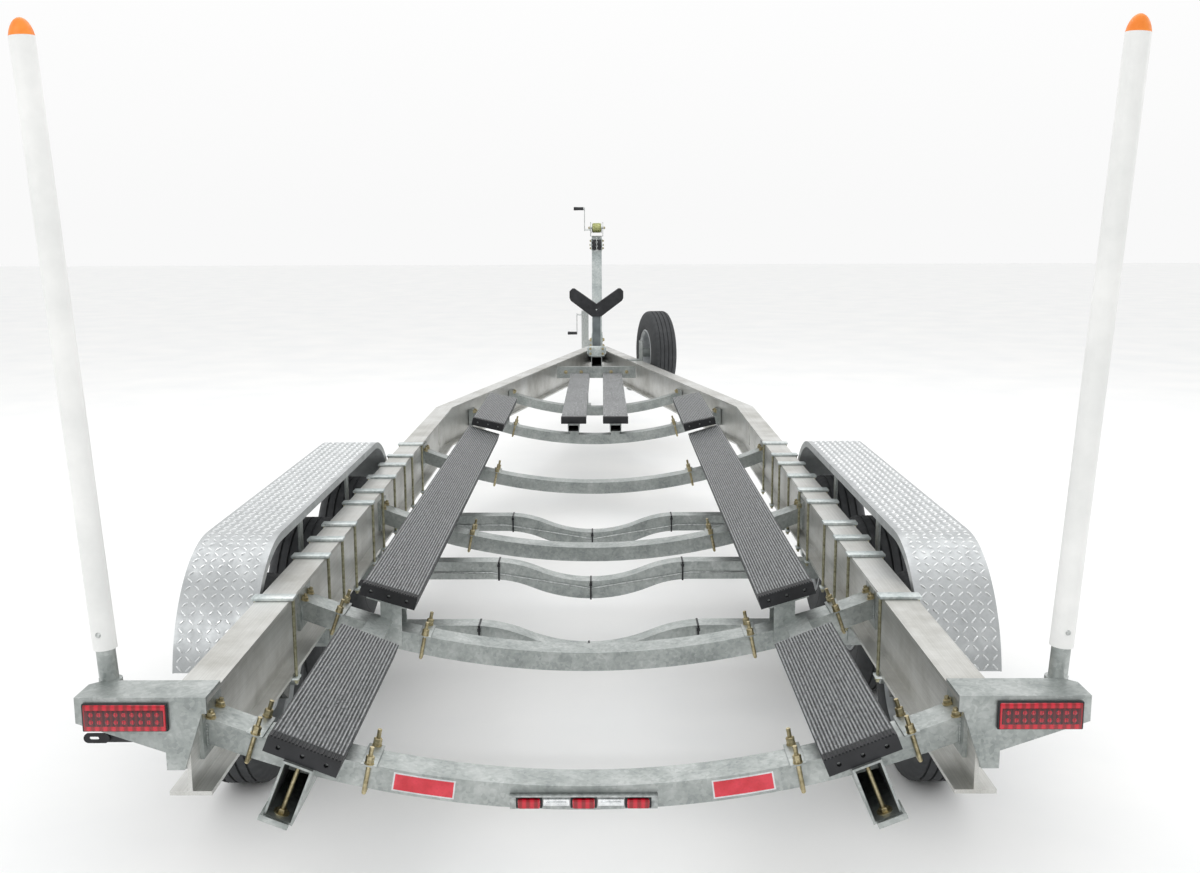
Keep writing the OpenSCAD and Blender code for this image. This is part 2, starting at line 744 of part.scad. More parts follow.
// a wheel rim about the origin, axis along Y, outer face towards +Y
module rim_shell(spokes) {
    w = tyre_w / 2;
    difference() {
        rotate([90, 0, 0]) rotate_extrude() polygon([
            [rim_r - 6.3, -w + 26], [rim_r + 4, -w + 11], [rim_r - 4, -w + 8], [rim_r - 16, -w + 30],
            [rim_r - 22, -20], [rim_r - 22, 34], [rim_r - 16, w - 30], [rim_r - 4, w - 8],
            [rim_r + 4, w - 11], [rim_r - 6.3, w - 26]]);
        rotate([90, 0, 0]) translate([0, 0, -w - 1]) cylinder(h = 2 * w + 2, r = rim_r - 26);
    }
    difference() {
        rotate([90, 0, 0]) rotate_extrude() polygon([
            [32, -34], [80, -34], [104, -40], [rim_r - 20, -20], [rim_r - 20, -8], [104, -30],
            [80, -24], [32, -24]]);
        for (i = [0:spokes - 1]) rotate([0, i * 360 / spokes + 180 / spokes, 0])
            translate([132, 100, 0]) rotate([90, 0, 0]) cylinder(h = 200, r = 22);
        for (i = [0:5]) rotate([0, i * 60, 0]) translate([70, 100, 0]) rotate([90, 0, 0])
            cylinder(h = 200, r = 7);
    }
}

// hub and brake disc that turn with a road wheel
module hub() {
    d = tyre_y - disc_y;
    difference() {
        union() {
            rod_y(0, 0, -d - 18, 24, 42);
            rod_y(0, 0, -d - 7, -d + 7, 124);
            rod_y(0, 0, 12, 24, 84);
            rod_y(0, 0, 24, 62, 31);
        }
        rod_y(0, 0, -d - 30, 40, spindle_r + 0.5);
    }
}

module at_wheel(k, s) {
    translate([wheel_xs[k], s * tyre_y, wheel_z]) scale([1, s, 1]) children();
}

module road_tyre(k, s) {
    color("#232426") at_wheel(k, s) tyre();
}

module road_rim(k, s) {
    color("#b4babc") at_wheel(k, s) {
        rim_shell(8);
        hub();
    }
}

module left_rear_tyre() { road_tyre(0, 1); }
module left_rear_rim() { road_rim(0, 1); }
module left_middle_tyre() { road_tyre(1, 1); }
module left_middle_rim() { road_rim(1, 1); }
module left_front_tyre() { road_tyre(2, 1); }
module left_front_rim() { road_rim(2, 1); }
module right_rear_tyre() { road_tyre(0, -1); }
module right_rear_rim() { road_rim(0, -1); }
module right_middle_tyre() { road_tyre(1, -1); }
module right_middle_rim() { road_rim(1, -1); }
module right_front_tyre() { road_tyre(2, -1); }
module right_front_rim() { road_rim(2, -1); }

// the spare stands on the outside of the right-hand tapered beam, parallel to it
spare_at = bend_x + 0.69 * (meet_x - bend_x);
spare_z = 830;
module spare_place() {
    translate([spare_at, -(beam_y - (spare_at - bend_x) * tan(taper)), 0])
        rotate([0, 0, taper]) children();
}

module spare_carrier() {
    f = flange_w / 2;
    reach = tyre_w / 2 + 48;
    color("#9aa3a5") spare_place() {
        block([-60, 60], [-f - 8, f + 8], [beam_top, beam_top + 8]);
        block([-60, 60], [-f - 8, -f], [beam_bot - 8, beam_top + 170]);
        block([-60, 60], [-f - 8, f + 8], [beam_bot - 8, beam_bot]);
        rod_y(0, spare_z, -f - 8 - reach, -f - 7, 38);
        rod_y(0, spare_z, -f - 8 - reach, -f - reach, 85);
        for (a = [0:120:240]) translate([0, 0, spare_z]) rotate([0, a, 0]) translate([70, 0, 0])
            rod_y(0, 0, -f - reach - 36, -f - reach, 6.5);
    }
}

module spare_rim() {
    color("#a4a9ab") spare_place() translate([0, -flange_w / 2 - 8 - tyre_w / 2 - 24, spare_z])
        mirror([0, 1, 0]) rim_shell(8);
}

module spare_tyre() {
    color("#232426") spare_place() translate([0, -flange_w / 2 - 8 - tyre_w / 2 - 24, spare_z])
        tyre();
}

left_beam();
right_beam();
rear_crossmember();
crossmembers();
tongue_crossmember();
tongue_tube();
coupler();
coupler_latch();
axles();
axle_brackets();
brake_calipers();
brake_lines();
left_fender();
right_fender();
fender_brackets();
bunks();
keel_bunks();
bunk_end_caps();
bunk_stringers();
bunk_brackets();
tail_brackets();
tail_lights();
marker_bar();
licence_bracket();
guide_pipes();
guide_sleeves();
guide_caps();
winch_post();
winch_frame();
roller_bracket();
bow_roller();
winch_drum();
winch_crank();
bow_rest_post();
bow_rest_pad();
jack_housing();
jack_leg();
jack_crank();
spare_carrier();
spare_rim();
spare_tyre();
left_rear_tyre();
left_rear_rim();
left_middle_tyre();
left_middle_rim();
left_front_tyre();
left_front_rim();
right_rear_tyre();
right_rear_rim();
right_middle_tyre();
right_middle_rim();
right_front_tyre();
right_front_rim();
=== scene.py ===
import json
import math
import random

import bmesh
import bpy
from mathutils import Matrix, Vector


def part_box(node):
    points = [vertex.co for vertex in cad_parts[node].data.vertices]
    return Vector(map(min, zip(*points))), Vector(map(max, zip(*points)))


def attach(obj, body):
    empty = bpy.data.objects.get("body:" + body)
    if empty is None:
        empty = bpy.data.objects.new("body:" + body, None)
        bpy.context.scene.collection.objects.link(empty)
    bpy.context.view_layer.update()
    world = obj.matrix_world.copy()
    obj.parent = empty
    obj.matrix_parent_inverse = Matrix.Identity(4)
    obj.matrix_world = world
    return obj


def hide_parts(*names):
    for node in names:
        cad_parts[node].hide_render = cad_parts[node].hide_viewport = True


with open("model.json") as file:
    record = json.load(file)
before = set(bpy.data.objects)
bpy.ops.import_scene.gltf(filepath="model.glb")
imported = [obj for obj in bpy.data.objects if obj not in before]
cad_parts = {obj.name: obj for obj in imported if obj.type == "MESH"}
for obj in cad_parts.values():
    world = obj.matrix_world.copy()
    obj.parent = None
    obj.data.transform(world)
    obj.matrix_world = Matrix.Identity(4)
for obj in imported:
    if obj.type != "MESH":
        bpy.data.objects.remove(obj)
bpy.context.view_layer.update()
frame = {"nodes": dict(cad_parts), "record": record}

nodes = frame["nodes"]
slotOf = {row["node"]: row["material_slot"] for row in frame["record"]["subparts"]}
print("frame loaded:", len(nodes), "nodes")


def toLinear(hexCode):
    channels = [int(hexCode[i:i + 2], 16) / 255 for i in (1, 3, 5)]
    return [c / 12.92 if c <= 0.04045 else ((c + 0.055) / 1.055) ** 2.4 for c in channels] + [1.0]


def middle(node):
    low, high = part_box(node)
    return (low + high) / 2


def facing(place, direction):  # a turn that brings +Z to the direction, then a move to the place
    turn = Vector(direction).normalized().to_track_quat("Z", "Y").to_matrix().to_4x4()
    return Matrix.Translation(Vector(place)) @ turn


def addRod(shape, start, end, radius, sides=10, tip=None):
    start, end = Vector(start), Vector(end)
    made = bmesh.ops.create_cone(shape, cap_ends=True, segments=sides, radius1=radius,
                                 radius2=radius if tip is None else tip, depth=(end - start).length,
                                 matrix=facing((start + end) / 2, end - start))
    return made["verts"]


def addBlock(shape, low, high, bevel=0.0, turn=None):
    low, high = Vector(low), Vector(high)
    size = high - low
    place = Matrix.Translation((low + high) / 2) @ Matrix.Diagonal((*size, 1))
    verts = bmesh.ops.create_cube(shape, size=1, matrix=(turn or Matrix()) @ place)["verts"]
    if bevel:
        edges = {edge for vert in verts for edge in vert.link_edges}
        bevelEdges(shape, edges, bevel)
    return verts


def bevelEdges(shape, edges, width, segments=2):
    bmesh.ops.bevel(shape, geom=list(edges), offset=width, segments=segments, profile=0.5,
                    affect="EDGES", material=-1)


def addNut(shape, place, direction, across=0.019, height=0.010, washer=0.030, stud=0.008):
    place, along = Vector(place), Vector(direction).normalized()
    radius = across / math.sqrt(3)
    base = place
    if washer:
        addRod(shape, place, place + along * 0.0025, washer / 2, 16)
        base = place + along * 0.0025
    addRod(shape, base, base + along * height * 0.8, radius, 6)
    addRod(shape, base + along * height * 0.8, base + along * height, radius, 6, radius * 0.82)
    if stud:
        addRod(shape, base + along * height, base + along * (height + stud), across * 0.29, 10)


def finishPiece(name, shape, material, body, smooth=40):
    bmesh.ops.recalc_face_normals(shape, faces=shape.faces)
    mesh = bpy.data.meshes.new(name)
    shape.to_mesh(mesh)
    shape.free()
    mesh.materials.append(material)
    mesh.shade_smooth()
    mesh.set_sharp_from_angle(angle=math.radians(smooth))
    piece = bpy.data.objects.new(name, mesh)
    bpy.context.scene.collection.objects.link(piece)
    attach(piece, body)
    return piece


def addNode(tree, kind, settings=None, links=None, into=None):  # stops are (place, colour) pairs
    node = tree.nodes.new(kind)
    for key, value in (settings or {}).items():
        if key == "stops":
            while len(node.color_ramp.elements) < len(value):
                node.color_ramp.elements.new(0.5)
            for element, (place, color) in zip(node.color_ramp.elements, value):
                element.position = place
                element.color = toLinear(color) if isinstance(color, str) else (color, color, color, 1)
        elif isinstance(key, str) and hasattr(node, key):
            setattr(node, key, value)
        else:
            node.inputs[key].default_value = value
    for key, socket in (links or {}).items():
        tree.links.new(socket, node.inputs[key])
    if into:
        tree.links.new(node.outputs[0], into)
    return node


def newMaterial(name, **shader):
    material = bpy.data.materials.new(name)
    material.use_nodes = True
    tree = material.node_tree
    surface = tree.nodes["Principled BSDF"]
    for key, value in shader.items():
        surface.inputs[key.replace("_", " ")].default_value = value
    coords = addNode(tree, "ShaderNodeTexCoord").outputs["Object"]
    return material, tree, surface, coords


def coverSurface(tree, surface, pattern, colors, gloss, height, distance, strength):  # one pattern, one bump
    addNode(tree, "ShaderNodeValToRGB", {"stops": colors}, {"Fac": pattern}, surface.inputs["Base Color"])
    addNode(tree, "ShaderNodeValToRGB", {"stops": gloss}, {"Fac": pattern}, surface.inputs["Roughness"])
    addNode(tree, "ShaderNodeBump", {"Strength": strength, "Distance": distance}, {"Height": height},
            surface.inputs["Normal"])


def extrudedAluminium():  # mill finish: long die lines and pale stains, brighter where it is rubbed
    material, tree, surface, coords = newMaterial("extruded_aluminium_mill_finish", Metallic=0.85,
                                                  Roughness=0.4)
    stains = addNode(tree, "ShaderNodeTexNoise", {"Scale": 3.2, "Detail": 6, "Roughness": 0.62},
                     {"Vector": coords}).outputs[0]
    stretched = addNode(tree, "ShaderNodeMapping", {"Scale": (1.5, 330, 330)}, {"Vector": coords}).outputs[0]
    dieLines = addNode(tree, "ShaderNodeTexNoise", {"Scale": 1.0, "Detail": 3},  # lines about 3 mm apart
                       {"Vector": stretched}).outputs[0]
    color = addNode(tree, "ShaderNodeValToRGB",
                    {"stops": [(0.28, "#B3B2AC"), (0.5, "#CFCFCB"), (0.72, "#E0E1DF")]},
                    {"Fac": stains}).outputs[0]
    shade = addNode(tree, "ShaderNodeValToRGB", {"stops": [(0.35, 0.62), (0.65, 1.0)]},
                    {"Fac": dieLines}).outputs[0]
    color = addNode(tree, "ShaderNodeMix", {"data_type": "RGBA", "blend_type": "MULTIPLY", 0: 0.35},
                    {6: color, 7: shade}).outputs[2]
    tree.links.new(color, surface.inputs["Base Color"])
    addNode(tree, "ShaderNodeValToRGB", {"stops": [(0.3, 0.5), (0.7, 0.33)]}, {"Fac": stains},
            surface.inputs["Roughness"])
    addNode(tree, "ShaderNodeBump", {"Strength": 0.35, "Distance": 0.0002}, {"Height": dieLines},
            surface.inputs["Normal"])
    return material


def galvanisedSteel(name="hot_dip_galvanised_steel", dark="#8E9492", mid="#A6ABA9", light="#BFC3C1"):
    # zinc crystals 5 to 15 mm across, each nearly the same grey, with cloudy runs from the bath
    material, tree, surface, coords = newMaterial(name, Metallic=0.88, Roughness=0.42)
    wander = addNode(tree, "ShaderNodeTexNoise", {"Scale": 30.0, "Detail": 3}, {"Vector": coords}).outputs[1]
    bent = addNode(tree, "ShaderNodeMix", {"data_type": "RGBA", "blend_type": "MIX", 0: 0.02},
                   {6: coords, 7: wander}).outputs[2]
    crystals = addNode(tree, "ShaderNodeTexVoronoi", {"Scale": 105.0}, {"Vector": bent}).outputs["Color"]
    crystal = addNode(tree, "ShaderNodeSeparateColor", {}, {"Color": crystals}).outputs[0]
    clouds = addNode(tree, "ShaderNodeTexNoise", {"Scale": 9.0, "Detail": 7, "Roughness": 0.66},
                     {"Vector": coords}).outputs[0]
    blend = addNode(tree, "ShaderNodeMath", {"operation": "MULTIPLY_ADD", 1: 0.16}, {0: crystal, 2: clouds})
    blend = blend.outputs[0]
    coverSurface(tree, surface, blend, [(0.36, dark), (0.58, mid), (0.82, light)],
                 [(0.36, 0.52), (0.85, 0.34)], clouds, 0.0012, 0.3)
    return material


def treadPlate():  # bright rolled aluminium, with scuffs
    material, tree, surface, coords = newMaterial("bright_rolled_aluminium_plate", Metallic=0.8,
                                                  Roughness=0.34)
    scuffs = addNode(tree, "ShaderNodeTexNoise", {"Scale": 14.0, "Detail": 8, "Roughness": 0.7},
                     {"Vector": coords}).outputs[0]
    coverSurface(tree, surface, scuffs, [(0.3, "#A4A7A8"), (0.55, "#B4B7B8"), (0.75, "#C2C5C5")],
                 [(0.3, 0.48), (0.7, 0.27)], scuffs, 0.0008, 0.25)
    return material


def bunkPlastic(name, dark, mid, light, grain=95.0, gloss=0.5):
    # extruded polyethylene, weathered, with beads of water about 5 mm across
    material, tree, surface, coords = newMaterial(name, Roughness=gloss, IOR=1.5)
    beads = addNode(tree, "ShaderNodeTexVoronoi", {"Scale": grain * 2},
                    {"Vector": coords}).outputs["Distance"]
    wear = addNode(tree, "ShaderNodeTexNoise", {"Scale": grain, "Detail": 4, "Roughness": 0.7},
                   {"Vector": coords}).outputs[0]
    patches = addNode(tree, "ShaderNodeTexNoise", {"Scale": 5.0, "Detail": 3}, {"Vector": coords}).outputs[0]
    color = addNode(tree, "ShaderNodeValToRGB", {"stops": [(0.36, dark), (0.52, mid), (0.68, light)]},
                    {"Fac": wear}).outputs[0]
    shade = addNode(tree, "ShaderNodeValToRGB", {"stops": [(0.35, 0.6), (0.65, 1.0)]},
                    {"Fac": patches}).outputs[0]
    color = addNode(tree, "ShaderNodeMix", {"data_type": "RGBA", "blend_type": "MULTIPLY", 0: 0.45},
                    {6: color, 7: shade}).outputs[2]
    tree.links.new(color, surface.inputs["Base Color"])
    addNode(tree, "ShaderNodeValToRGB", {"stops": [(0.12, 0.12), (0.4, 0.68)]}, {"Fac": beads},
            surface.inputs["Roughness"])
    drops = addNode(tree, "ShaderNodeValToRGB", {"stops": [(0.0, 1.0), (0.38, 0.0)]},
                    {"Fac": beads}).outputs[0]
    first = addNode(tree, "ShaderNodeBump", {"Strength": 0.7, "Distance": 0.0016},
                    {"Height": drops}).outputs[0]
    addNode(tree, "ShaderNodeBump", {"Strength": 0.4, "Distance": 0.0008},
            {"Height": wear, "Normal": first}, surface.inputs["Normal"])
    return material


def wornRibsWithGrooveShade():  # ribs rubbed pale on top; the gaps between them are painted near-black in patches, which is painted shade in the grooves
    material, tree, surface, coords = newMaterial("worn_polyethylene_ribs", Roughness=0.42, IOR=1.5)
    wear = addNode(tree, "ShaderNodeAttribute", {"attribute_name": "wear"}).outputs["Fac"]
    grain = addNode(tree, "ShaderNodeTexNoise", {"Scale": 110.0, "Detail": 4, "Roughness": 0.7},
                    {"Vector": coords}).outputs[0]
    both = addNode(tree, "ShaderNodeMath", {"operation": "MULTIPLY"}, {0: wear, 1: grain}).outputs[0]
    # the near-black first stop is painted shade in the grooves between the ribs; the pale stops are wear on
    # the rib tops
    addNode(tree, "ShaderNodeValToRGB",
            {"stops": [(0.04, "#08090A"), (0.30, "#46494B"), (0.50, "#77797B"), (0.72, "#A5A7A8")]},
            {"Fac": both}, surface.inputs["Base Color"])
    addNode(tree, "ShaderNodeValToRGB", {"stops": [(0.35, 0.24), (0.65, 0.62)]}, {"Fac": grain},
            surface.inputs["Roughness"])
    addNode(tree, "ShaderNodeBump", {"Strength": 0.5, "Distance": 0.0012}, {"Height": grain},
            surface.inputs["Normal"])
    return material


def mouldedPlastic(name, low, high, roughness=0.45, grain=900.0, dirt=7.0, **shader):
    # injection moulded: fine spark texture, a little dust
    material, tree, surface, coords = newMaterial(name, Roughness=roughness, IOR=1.46, **shader)
    dust = addNode(tree, "ShaderNodeTexNoise", {"Scale": dirt, "Detail": 6, "Roughness": 0.6},
                   {"Vector": coords}).outputs[0]
    spark = addNode(tree, "ShaderNodeTexNoise", {"Scale": grain, "Detail": 2}, {"Vector": coords}).outputs[0]
    coverSurface(tree, surface, dust, [(0.35, low), (0.65, high)],
                 [(0.3, roughness + 0.1), (0.7, roughness - 0.08)], spark, 0.0003, 0.35)
    return material


def tyreRubber():  # cured rubber with road dust and fine flow marks
    material, tree, surface, coords = newMaterial("cured_tyre_rubber", Roughness=0.74, IOR=1.52)
    dust = addNode(tree, "ShaderNodeTexNoise", {"Scale": 16.0, "Detail": 7, "Roughness": 0.68},
                   {"Vector": coords}).outputs[0]
    fine = addNode(tree, "ShaderNodeTexNoise", {"Scale": 420.0, "Detail": 2}, {"Vector": coords}).outputs[0]
    coverSurface(tree, surface, dust, [(0.32, "#26282A"), (0.55, "#37393B"), (0.78, "#4C4D4D")],
                 [(0.3, 0.62), (0.7, 0.85)], fine, 0.0005, 0.4)
    return material


def paintedSteel(name, low, high, metallic=0.5, roughness=0.4):  # sprayed paint, faint orange peel
    material, tree, surface, coords = newMaterial(name, Metallic=metallic, Roughness=roughness)
    peel = addNode(tree, "ShaderNodeTexNoise", {"Scale": 220.0, "Detail": 2}, {"Vector": coords}).outputs[0]
    grime = addNode(tree, "ShaderNodeTexNoise", {"Scale": 12.0, "Detail": 6}, {"Vector": coords}).outputs[0]
    coverSurface(tree, surface, grime, [(0.35, low), (0.62, high)],
                 [(0.3, roughness + 0.14), (0.7, roughness - 0.06)], peel, 0.0003, 0.25)
    return material


def castIron():  # sand cast, rough and grey
    material, tree, surface, coords = newMaterial("sand_cast_iron", Metallic=0.6, Roughness=0.62)
    sand = addNode(tree, "ShaderNodeTexNoise", {"Scale": 260.0, "Detail": 5, "Roughness": 0.7},
                   {"Vector": coords}).outputs[0]
    addNode(tree, "ShaderNodeValToRGB", {"stops": [(0.35, "#5B5C5A"), (0.65, "#8C8D8A")]}, {"Fac": sand},
            surface.inputs["Base Color"])
    addNode(tree, "ShaderNodeBump", {"Strength": 0.5, "Distance": 0.0012}, {"Height": sand},
            surface.inputs["Normal"])
    return material


def platedSteel(name, low, high, roughness=0.28):  # bright plating, a few dull spots
    material, tree, surface, coords = newMaterial(name, Metallic=1.0, Roughness=roughness)
    spots = addNode(tree, "ShaderNodeTexNoise", {"Scale": 70.0, "Detail": 5, "Roughness": 0.6},
                    {"Vector": coords}).outputs[0]
    coverSurface(tree, surface, spots, [(0.32, low), (0.62, high)],
                 [(0.3, roughness + 0.2), (0.65, roughness)], spots, 0.0003, 0.25)
    return material


def ribbedLens(name, low, high, pitch, strength=0.5):  # moulded acrylic, a prism rib every two pitches
    material, tree, surface, coords = newMaterial(name, Roughness=0.14, IOR=1.49, Coat_Weight=0.6)
    ribs = addNode(tree, "ShaderNodeTexWave", {"bands_direction": "Y", "Scale": 0.155 / pitch},
                   {"Vector": coords}).outputs[1]
    addNode(tree, "ShaderNodeValToRGB", {"stops": [(0.2, low), (0.8, high)]}, {"Fac": ribs},
            surface.inputs["Base Color"])
    addNode(tree, "ShaderNodeBump", {"Strength": strength, "Distance": 0.0010}, {"Height": ribs},
            surface.inputs["Normal"])
    return material


def reflectiveTape(name, low, high):  # micro-prism sheet, in cells about 8 mm across
    material, tree, surface, coords = newMaterial(name, Roughness=0.32, IOR=1.5, Coat_Weight=0.4)
    prisms = addNode(tree, "ShaderNodeTexVoronoi", {"Scale": 130.0}, {"Vector": coords}).outputs["Distance"]
    clouds = addNode(tree, "ShaderNodeTexNoise", {"Scale": 18.0, "Detail": 4}, {"Vector": coords}).outputs[0]
    color = addNode(tree, "ShaderNodeValToRGB", {"stops": [(0.35, low), (0.65, high)]},
                    {"Fac": clouds}).outputs[0]
    shade = addNode(tree, "ShaderNodeValToRGB", {"stops": [(0.1, 0.72), (0.5, 1.0)]},
                    {"Fac": prisms}).outputs[0]
    color = addNode(tree, "ShaderNodeMix", {"data_type": "RGBA", "blend_type": "MULTIPLY", 0: 0.3},
                    {6: color, 7: shade}).outputs[2]
    tree.links.new(color, surface.inputs["Base Color"])
    addNode(tree, "ShaderNodeBump", {"Strength": 0.3, "Distance": 0.0002}, {"Height": prisms},
            surface.inputs["Normal"])
    return material


aluminium = extrudedAluminium()
galvanised = galvanisedSteel()
brightGalvanised = galvanisedSteel("bright_galvanised_steel", "#A7B0B0", "#C8CFCE", "#E6EAE8")
blackPlastic = mouldedPlastic("moulded_black_polypropylene", "#17181A", "#26272A", 0.48)
yellowZinc = platedSteel("yellow_zinc_plated_steel", "#8F8465", "#C3B896", 0.36)
oliveZinc = platedSteel("olive_zinc_plated_rod", "#8B8972", "#B5B298", 0.42)
brightZinc = platedSteel("bright_zinc_plated_steel", "#A5A9A8", "#DADDDB", 0.26)
finishes = {
    "beam_aluminium": aluminium,
    "galvanised_steel": galvanised,
    "tread_plate": treadPlate(),
    "bunk_plastic": bunkPlastic("ribbed_polyethylene", "#1E2022", "#34373A", "#5C6062"),
    "keel_plastic": bunkPlastic("worn_polyethylene", "#3A3C3E", "#7E8081", "#D0D1D1", 85.0),
    "black_plastic": blackPlastic,
    "black_rubber": mouldedPlastic("moulded_black_rubber", "#1B1C1E", "#2D2E31", 0.62, 500.0, 12.0),
    "red_lens": ribbedLens("ribbed_red_acrylic", "#8E0716", "#C9102A", 0.010),
    "white_plastic": mouldedPlastic("white_pvc_pipe", "#E4E5E3", "#F6F6F4", 0.36, 300.0, 3.0),
    "orange_plastic": mouldedPlastic("orange_vinyl", "#EE7D1B", "#FB9233", 0.42, 500.0, 20.0),
    "tyre_rubber": tyreRubber(),
    "rim_steel": paintedSteel("silver_painted_steel", "#A9ADAF", "#C9CCCE"),
    "cast_metal": castIron(),
    "zinc_plate": brightZinc,
    "line_steel": platedSteel("coated_line_steel", "#8F9392", "#B9BDBC", 0.36),
}
for nodeName, node in nodes.items():
    for socket in node.material_slots:
        socket.material = finishes[slotOf[nodeName]]
for nodeName in ("winch_post", "roller_bracket"):
    nodes[nodeName].material_slots[0].material = brightGalvanised
nodes["winch_frame"].material_slots[0].material = galvanised
greyPaint = paintedSteel("grey_painted_steel", "#5E6568", "#747B7D", 0.3, 0.5)
nodes["bow_rest_post"].material_slots[0].material = greyPaint
print("materials ready:", len(finishes))

view = {"place": (-8.745, -0.050, 1.895), "down": 9.43, "left": 0.10, "roll": 0.18, "lens": 37.38}
camera = bpy.data.objects.new("camera", bpy.data.cameras.new("camera"))
bpy.context.scene.collection.objects.link(camera)
camera.data.lens = view["lens"]
camera.data.sensor_width = 36
camera.data.clip_end = 200
turn = Matrix.Rotation(math.radians(view["left"] - 90), 4, "Z")
tilt = Matrix.Rotation(math.radians(90 - view["down"]), 4, "X")
lean = Matrix.Rotation(math.radians(-view["roll"]), 4, "Z")
camera.matrix_world = Matrix.Translation(view["place"]) @ turn @ tilt @ lean
bpy.context.scene.camera = camera
bpy.context.scene.view_settings.view_transform = "Standard"


def paleFloor():
    material, tree, surface, coords = newMaterial("pale_studio_floor", Roughness=0.75)
    grain = addNode(tree, "ShaderNodeTexNoise", {"Scale": 1.3, "Detail": 5}, {"Vector": coords}).outputs[0]
    addNode(tree, "ShaderNodeValToRGB", {"stops": [(0.3, "#EFF0F0"), (0.7, "#F5F5F4")]}, {"Fac": grain},
            surface.inputs["Base Color"])
    return material


floorShape = bmesh.new()
bmesh.ops.create_grid(floorShape, x_segments=2, y_segments=2, size=60)
floorMesh = bpy.data.meshes.new("floor")
floorShape.to_mesh(floorMesh)
floorShape.free()
floorMesh.materials.append(paleFloor())
floor = bpy.data.objects.new("floor", floorMesh)
bpy.context.scene.collection.objects.link(floor)

sky = bpy.data.worlds.new("studio")
bpy.context.scene.world = sky
sky.use_nodes = True
skyTree = sky.node_tree
direction = addNode(skyTree, "ShaderNodeTexCoord").outputs["Generated"]
parts = addNode(skyTree, "ShaderNodeSeparateXYZ", {}, {"Vector": direction})
ahead = addNode(skyTree, "ShaderNodeMapRange", {1: -1.0, 2: 1.0}, {0: parts.outputs[0]}).outputs[0]
skyStops = [(0.1, "#5C6062"), (0.42, "#A9ADAF"), (0.72, "#F9F9F9")]  # darker behind, paler ahead
level = addNode(skyTree, "ShaderNodeValToRGB", {"stops": skyStops}, {"Fac": ahead}).outputs[0]
above = addNode(skyTree, "ShaderNodeMapRange", {1: 0.01, 2: 0.22}, {0: parts.outputs[2]}).outputs[0]
skyColor = addNode(skyTree, "ShaderNodeMix",
                   {"data_type": "RGBA", "blend_type": "MIX", 7: toLinear("#FFFFFF")},
                   {0: above, 6: level}).outputs[2]
skyTree.links.new(skyColor, skyTree.nodes["Background"].inputs["Color"])
skyTree.nodes["Background"].inputs["Strength"].default_value = 1.0

lamps = {  # name: place, aimed at, size, power
    "topSoftbox": ((0.0, 0.0, 7.5), (0, 0, 0), 9.0, 240),
    "rearSoftbox": ((-10.5, 3.5, 5.0), (-3.0, 0, 0.6), 4.0, 70),
    "sideSoftbox": ((-3.0, -8.0, 4.5), (-2.0, 0, 0.6), 5.0, 60),
}
for name, (place, target, size, power) in lamps.items():
    lamp = bpy.data.lights.new(name, "AREA")
    lamp.size = size
    lamp.energy = power
    lampObject = bpy.data.objects.new(name, lamp)
    bpy.context.scene.collection.objects.link(lampObject)
    lampObject.matrix_world = facing(place, Vector(place) - Vector(target))
print("camera, floor and lights ready")


bpy.context.view_layer.update()
beam = {"y": 0.9735, "flange": 0.105, "top": 0.762, "bottom": 0.512, "rear": -5.840,
        "bend": -0.755, "taper": math.radians(12.33)}
crossmember = {"x": (-5.690, -4.670, -3.140, -1.760, -0.2408, 0.7076), "deep": 0.100, "high": 0.064}
sides = (("left", 1), ("right", -1))


def touch(node, origin, direction):  # where a line from outside first meets a node, and how that face looks
    hit, place, normal, _ = nodes[node].ray_cast(Vector(origin), Vector(direction).normalized())
    return (place, normal) if hit else None


def barMiddle(x, y):  # height of the middle of the curved bar at x, found from above and below
    node = "rear_crossmember" if x < -5.5 else "crossmembers"
    top, under = touch(node, (x, y, 1.5), (0, 0, -1)), touch(node, (x, y, 0.0), (0, 0, 1))
    return (top[0].z + under[0].z) / 2, top[0].z, math.atan2(-top[1].y, top[1].z)


def buildPlateBolts():  # two bolts above and two below each bar, through its end plates
    plateBolts = {"apart": 0.040, "off": 0.049}
    shape = bmesh.new()
    for x in crossmember["x"]:
        node = "rear_crossmember" if x < -5.5 else "crossmembers"
        end = beam["y"] - max(0.0, x - beam["bend"]) * math.tan(beam["taper"])
        for _, side in sides:
            height = barMiddle(x, side * (end - 0.09))[0] + 0.012
            for step in (-1, 1):
                for lift in (-1, 1):
                    start = (x + step * plateBolts["apart"], side * (end - 0.12),
                             height + lift * plateBolts["off"])
                    found = touch(node, start, (0, side, 0))
                    if found and abs(found[0].y) > end - 0.07:
                        addNut(shape, found[0], found[1], 0.022, 0.011, 0.034, 0.007)
    finishPiece("crossmember_bolts", shape, yellowZinc, "frame")


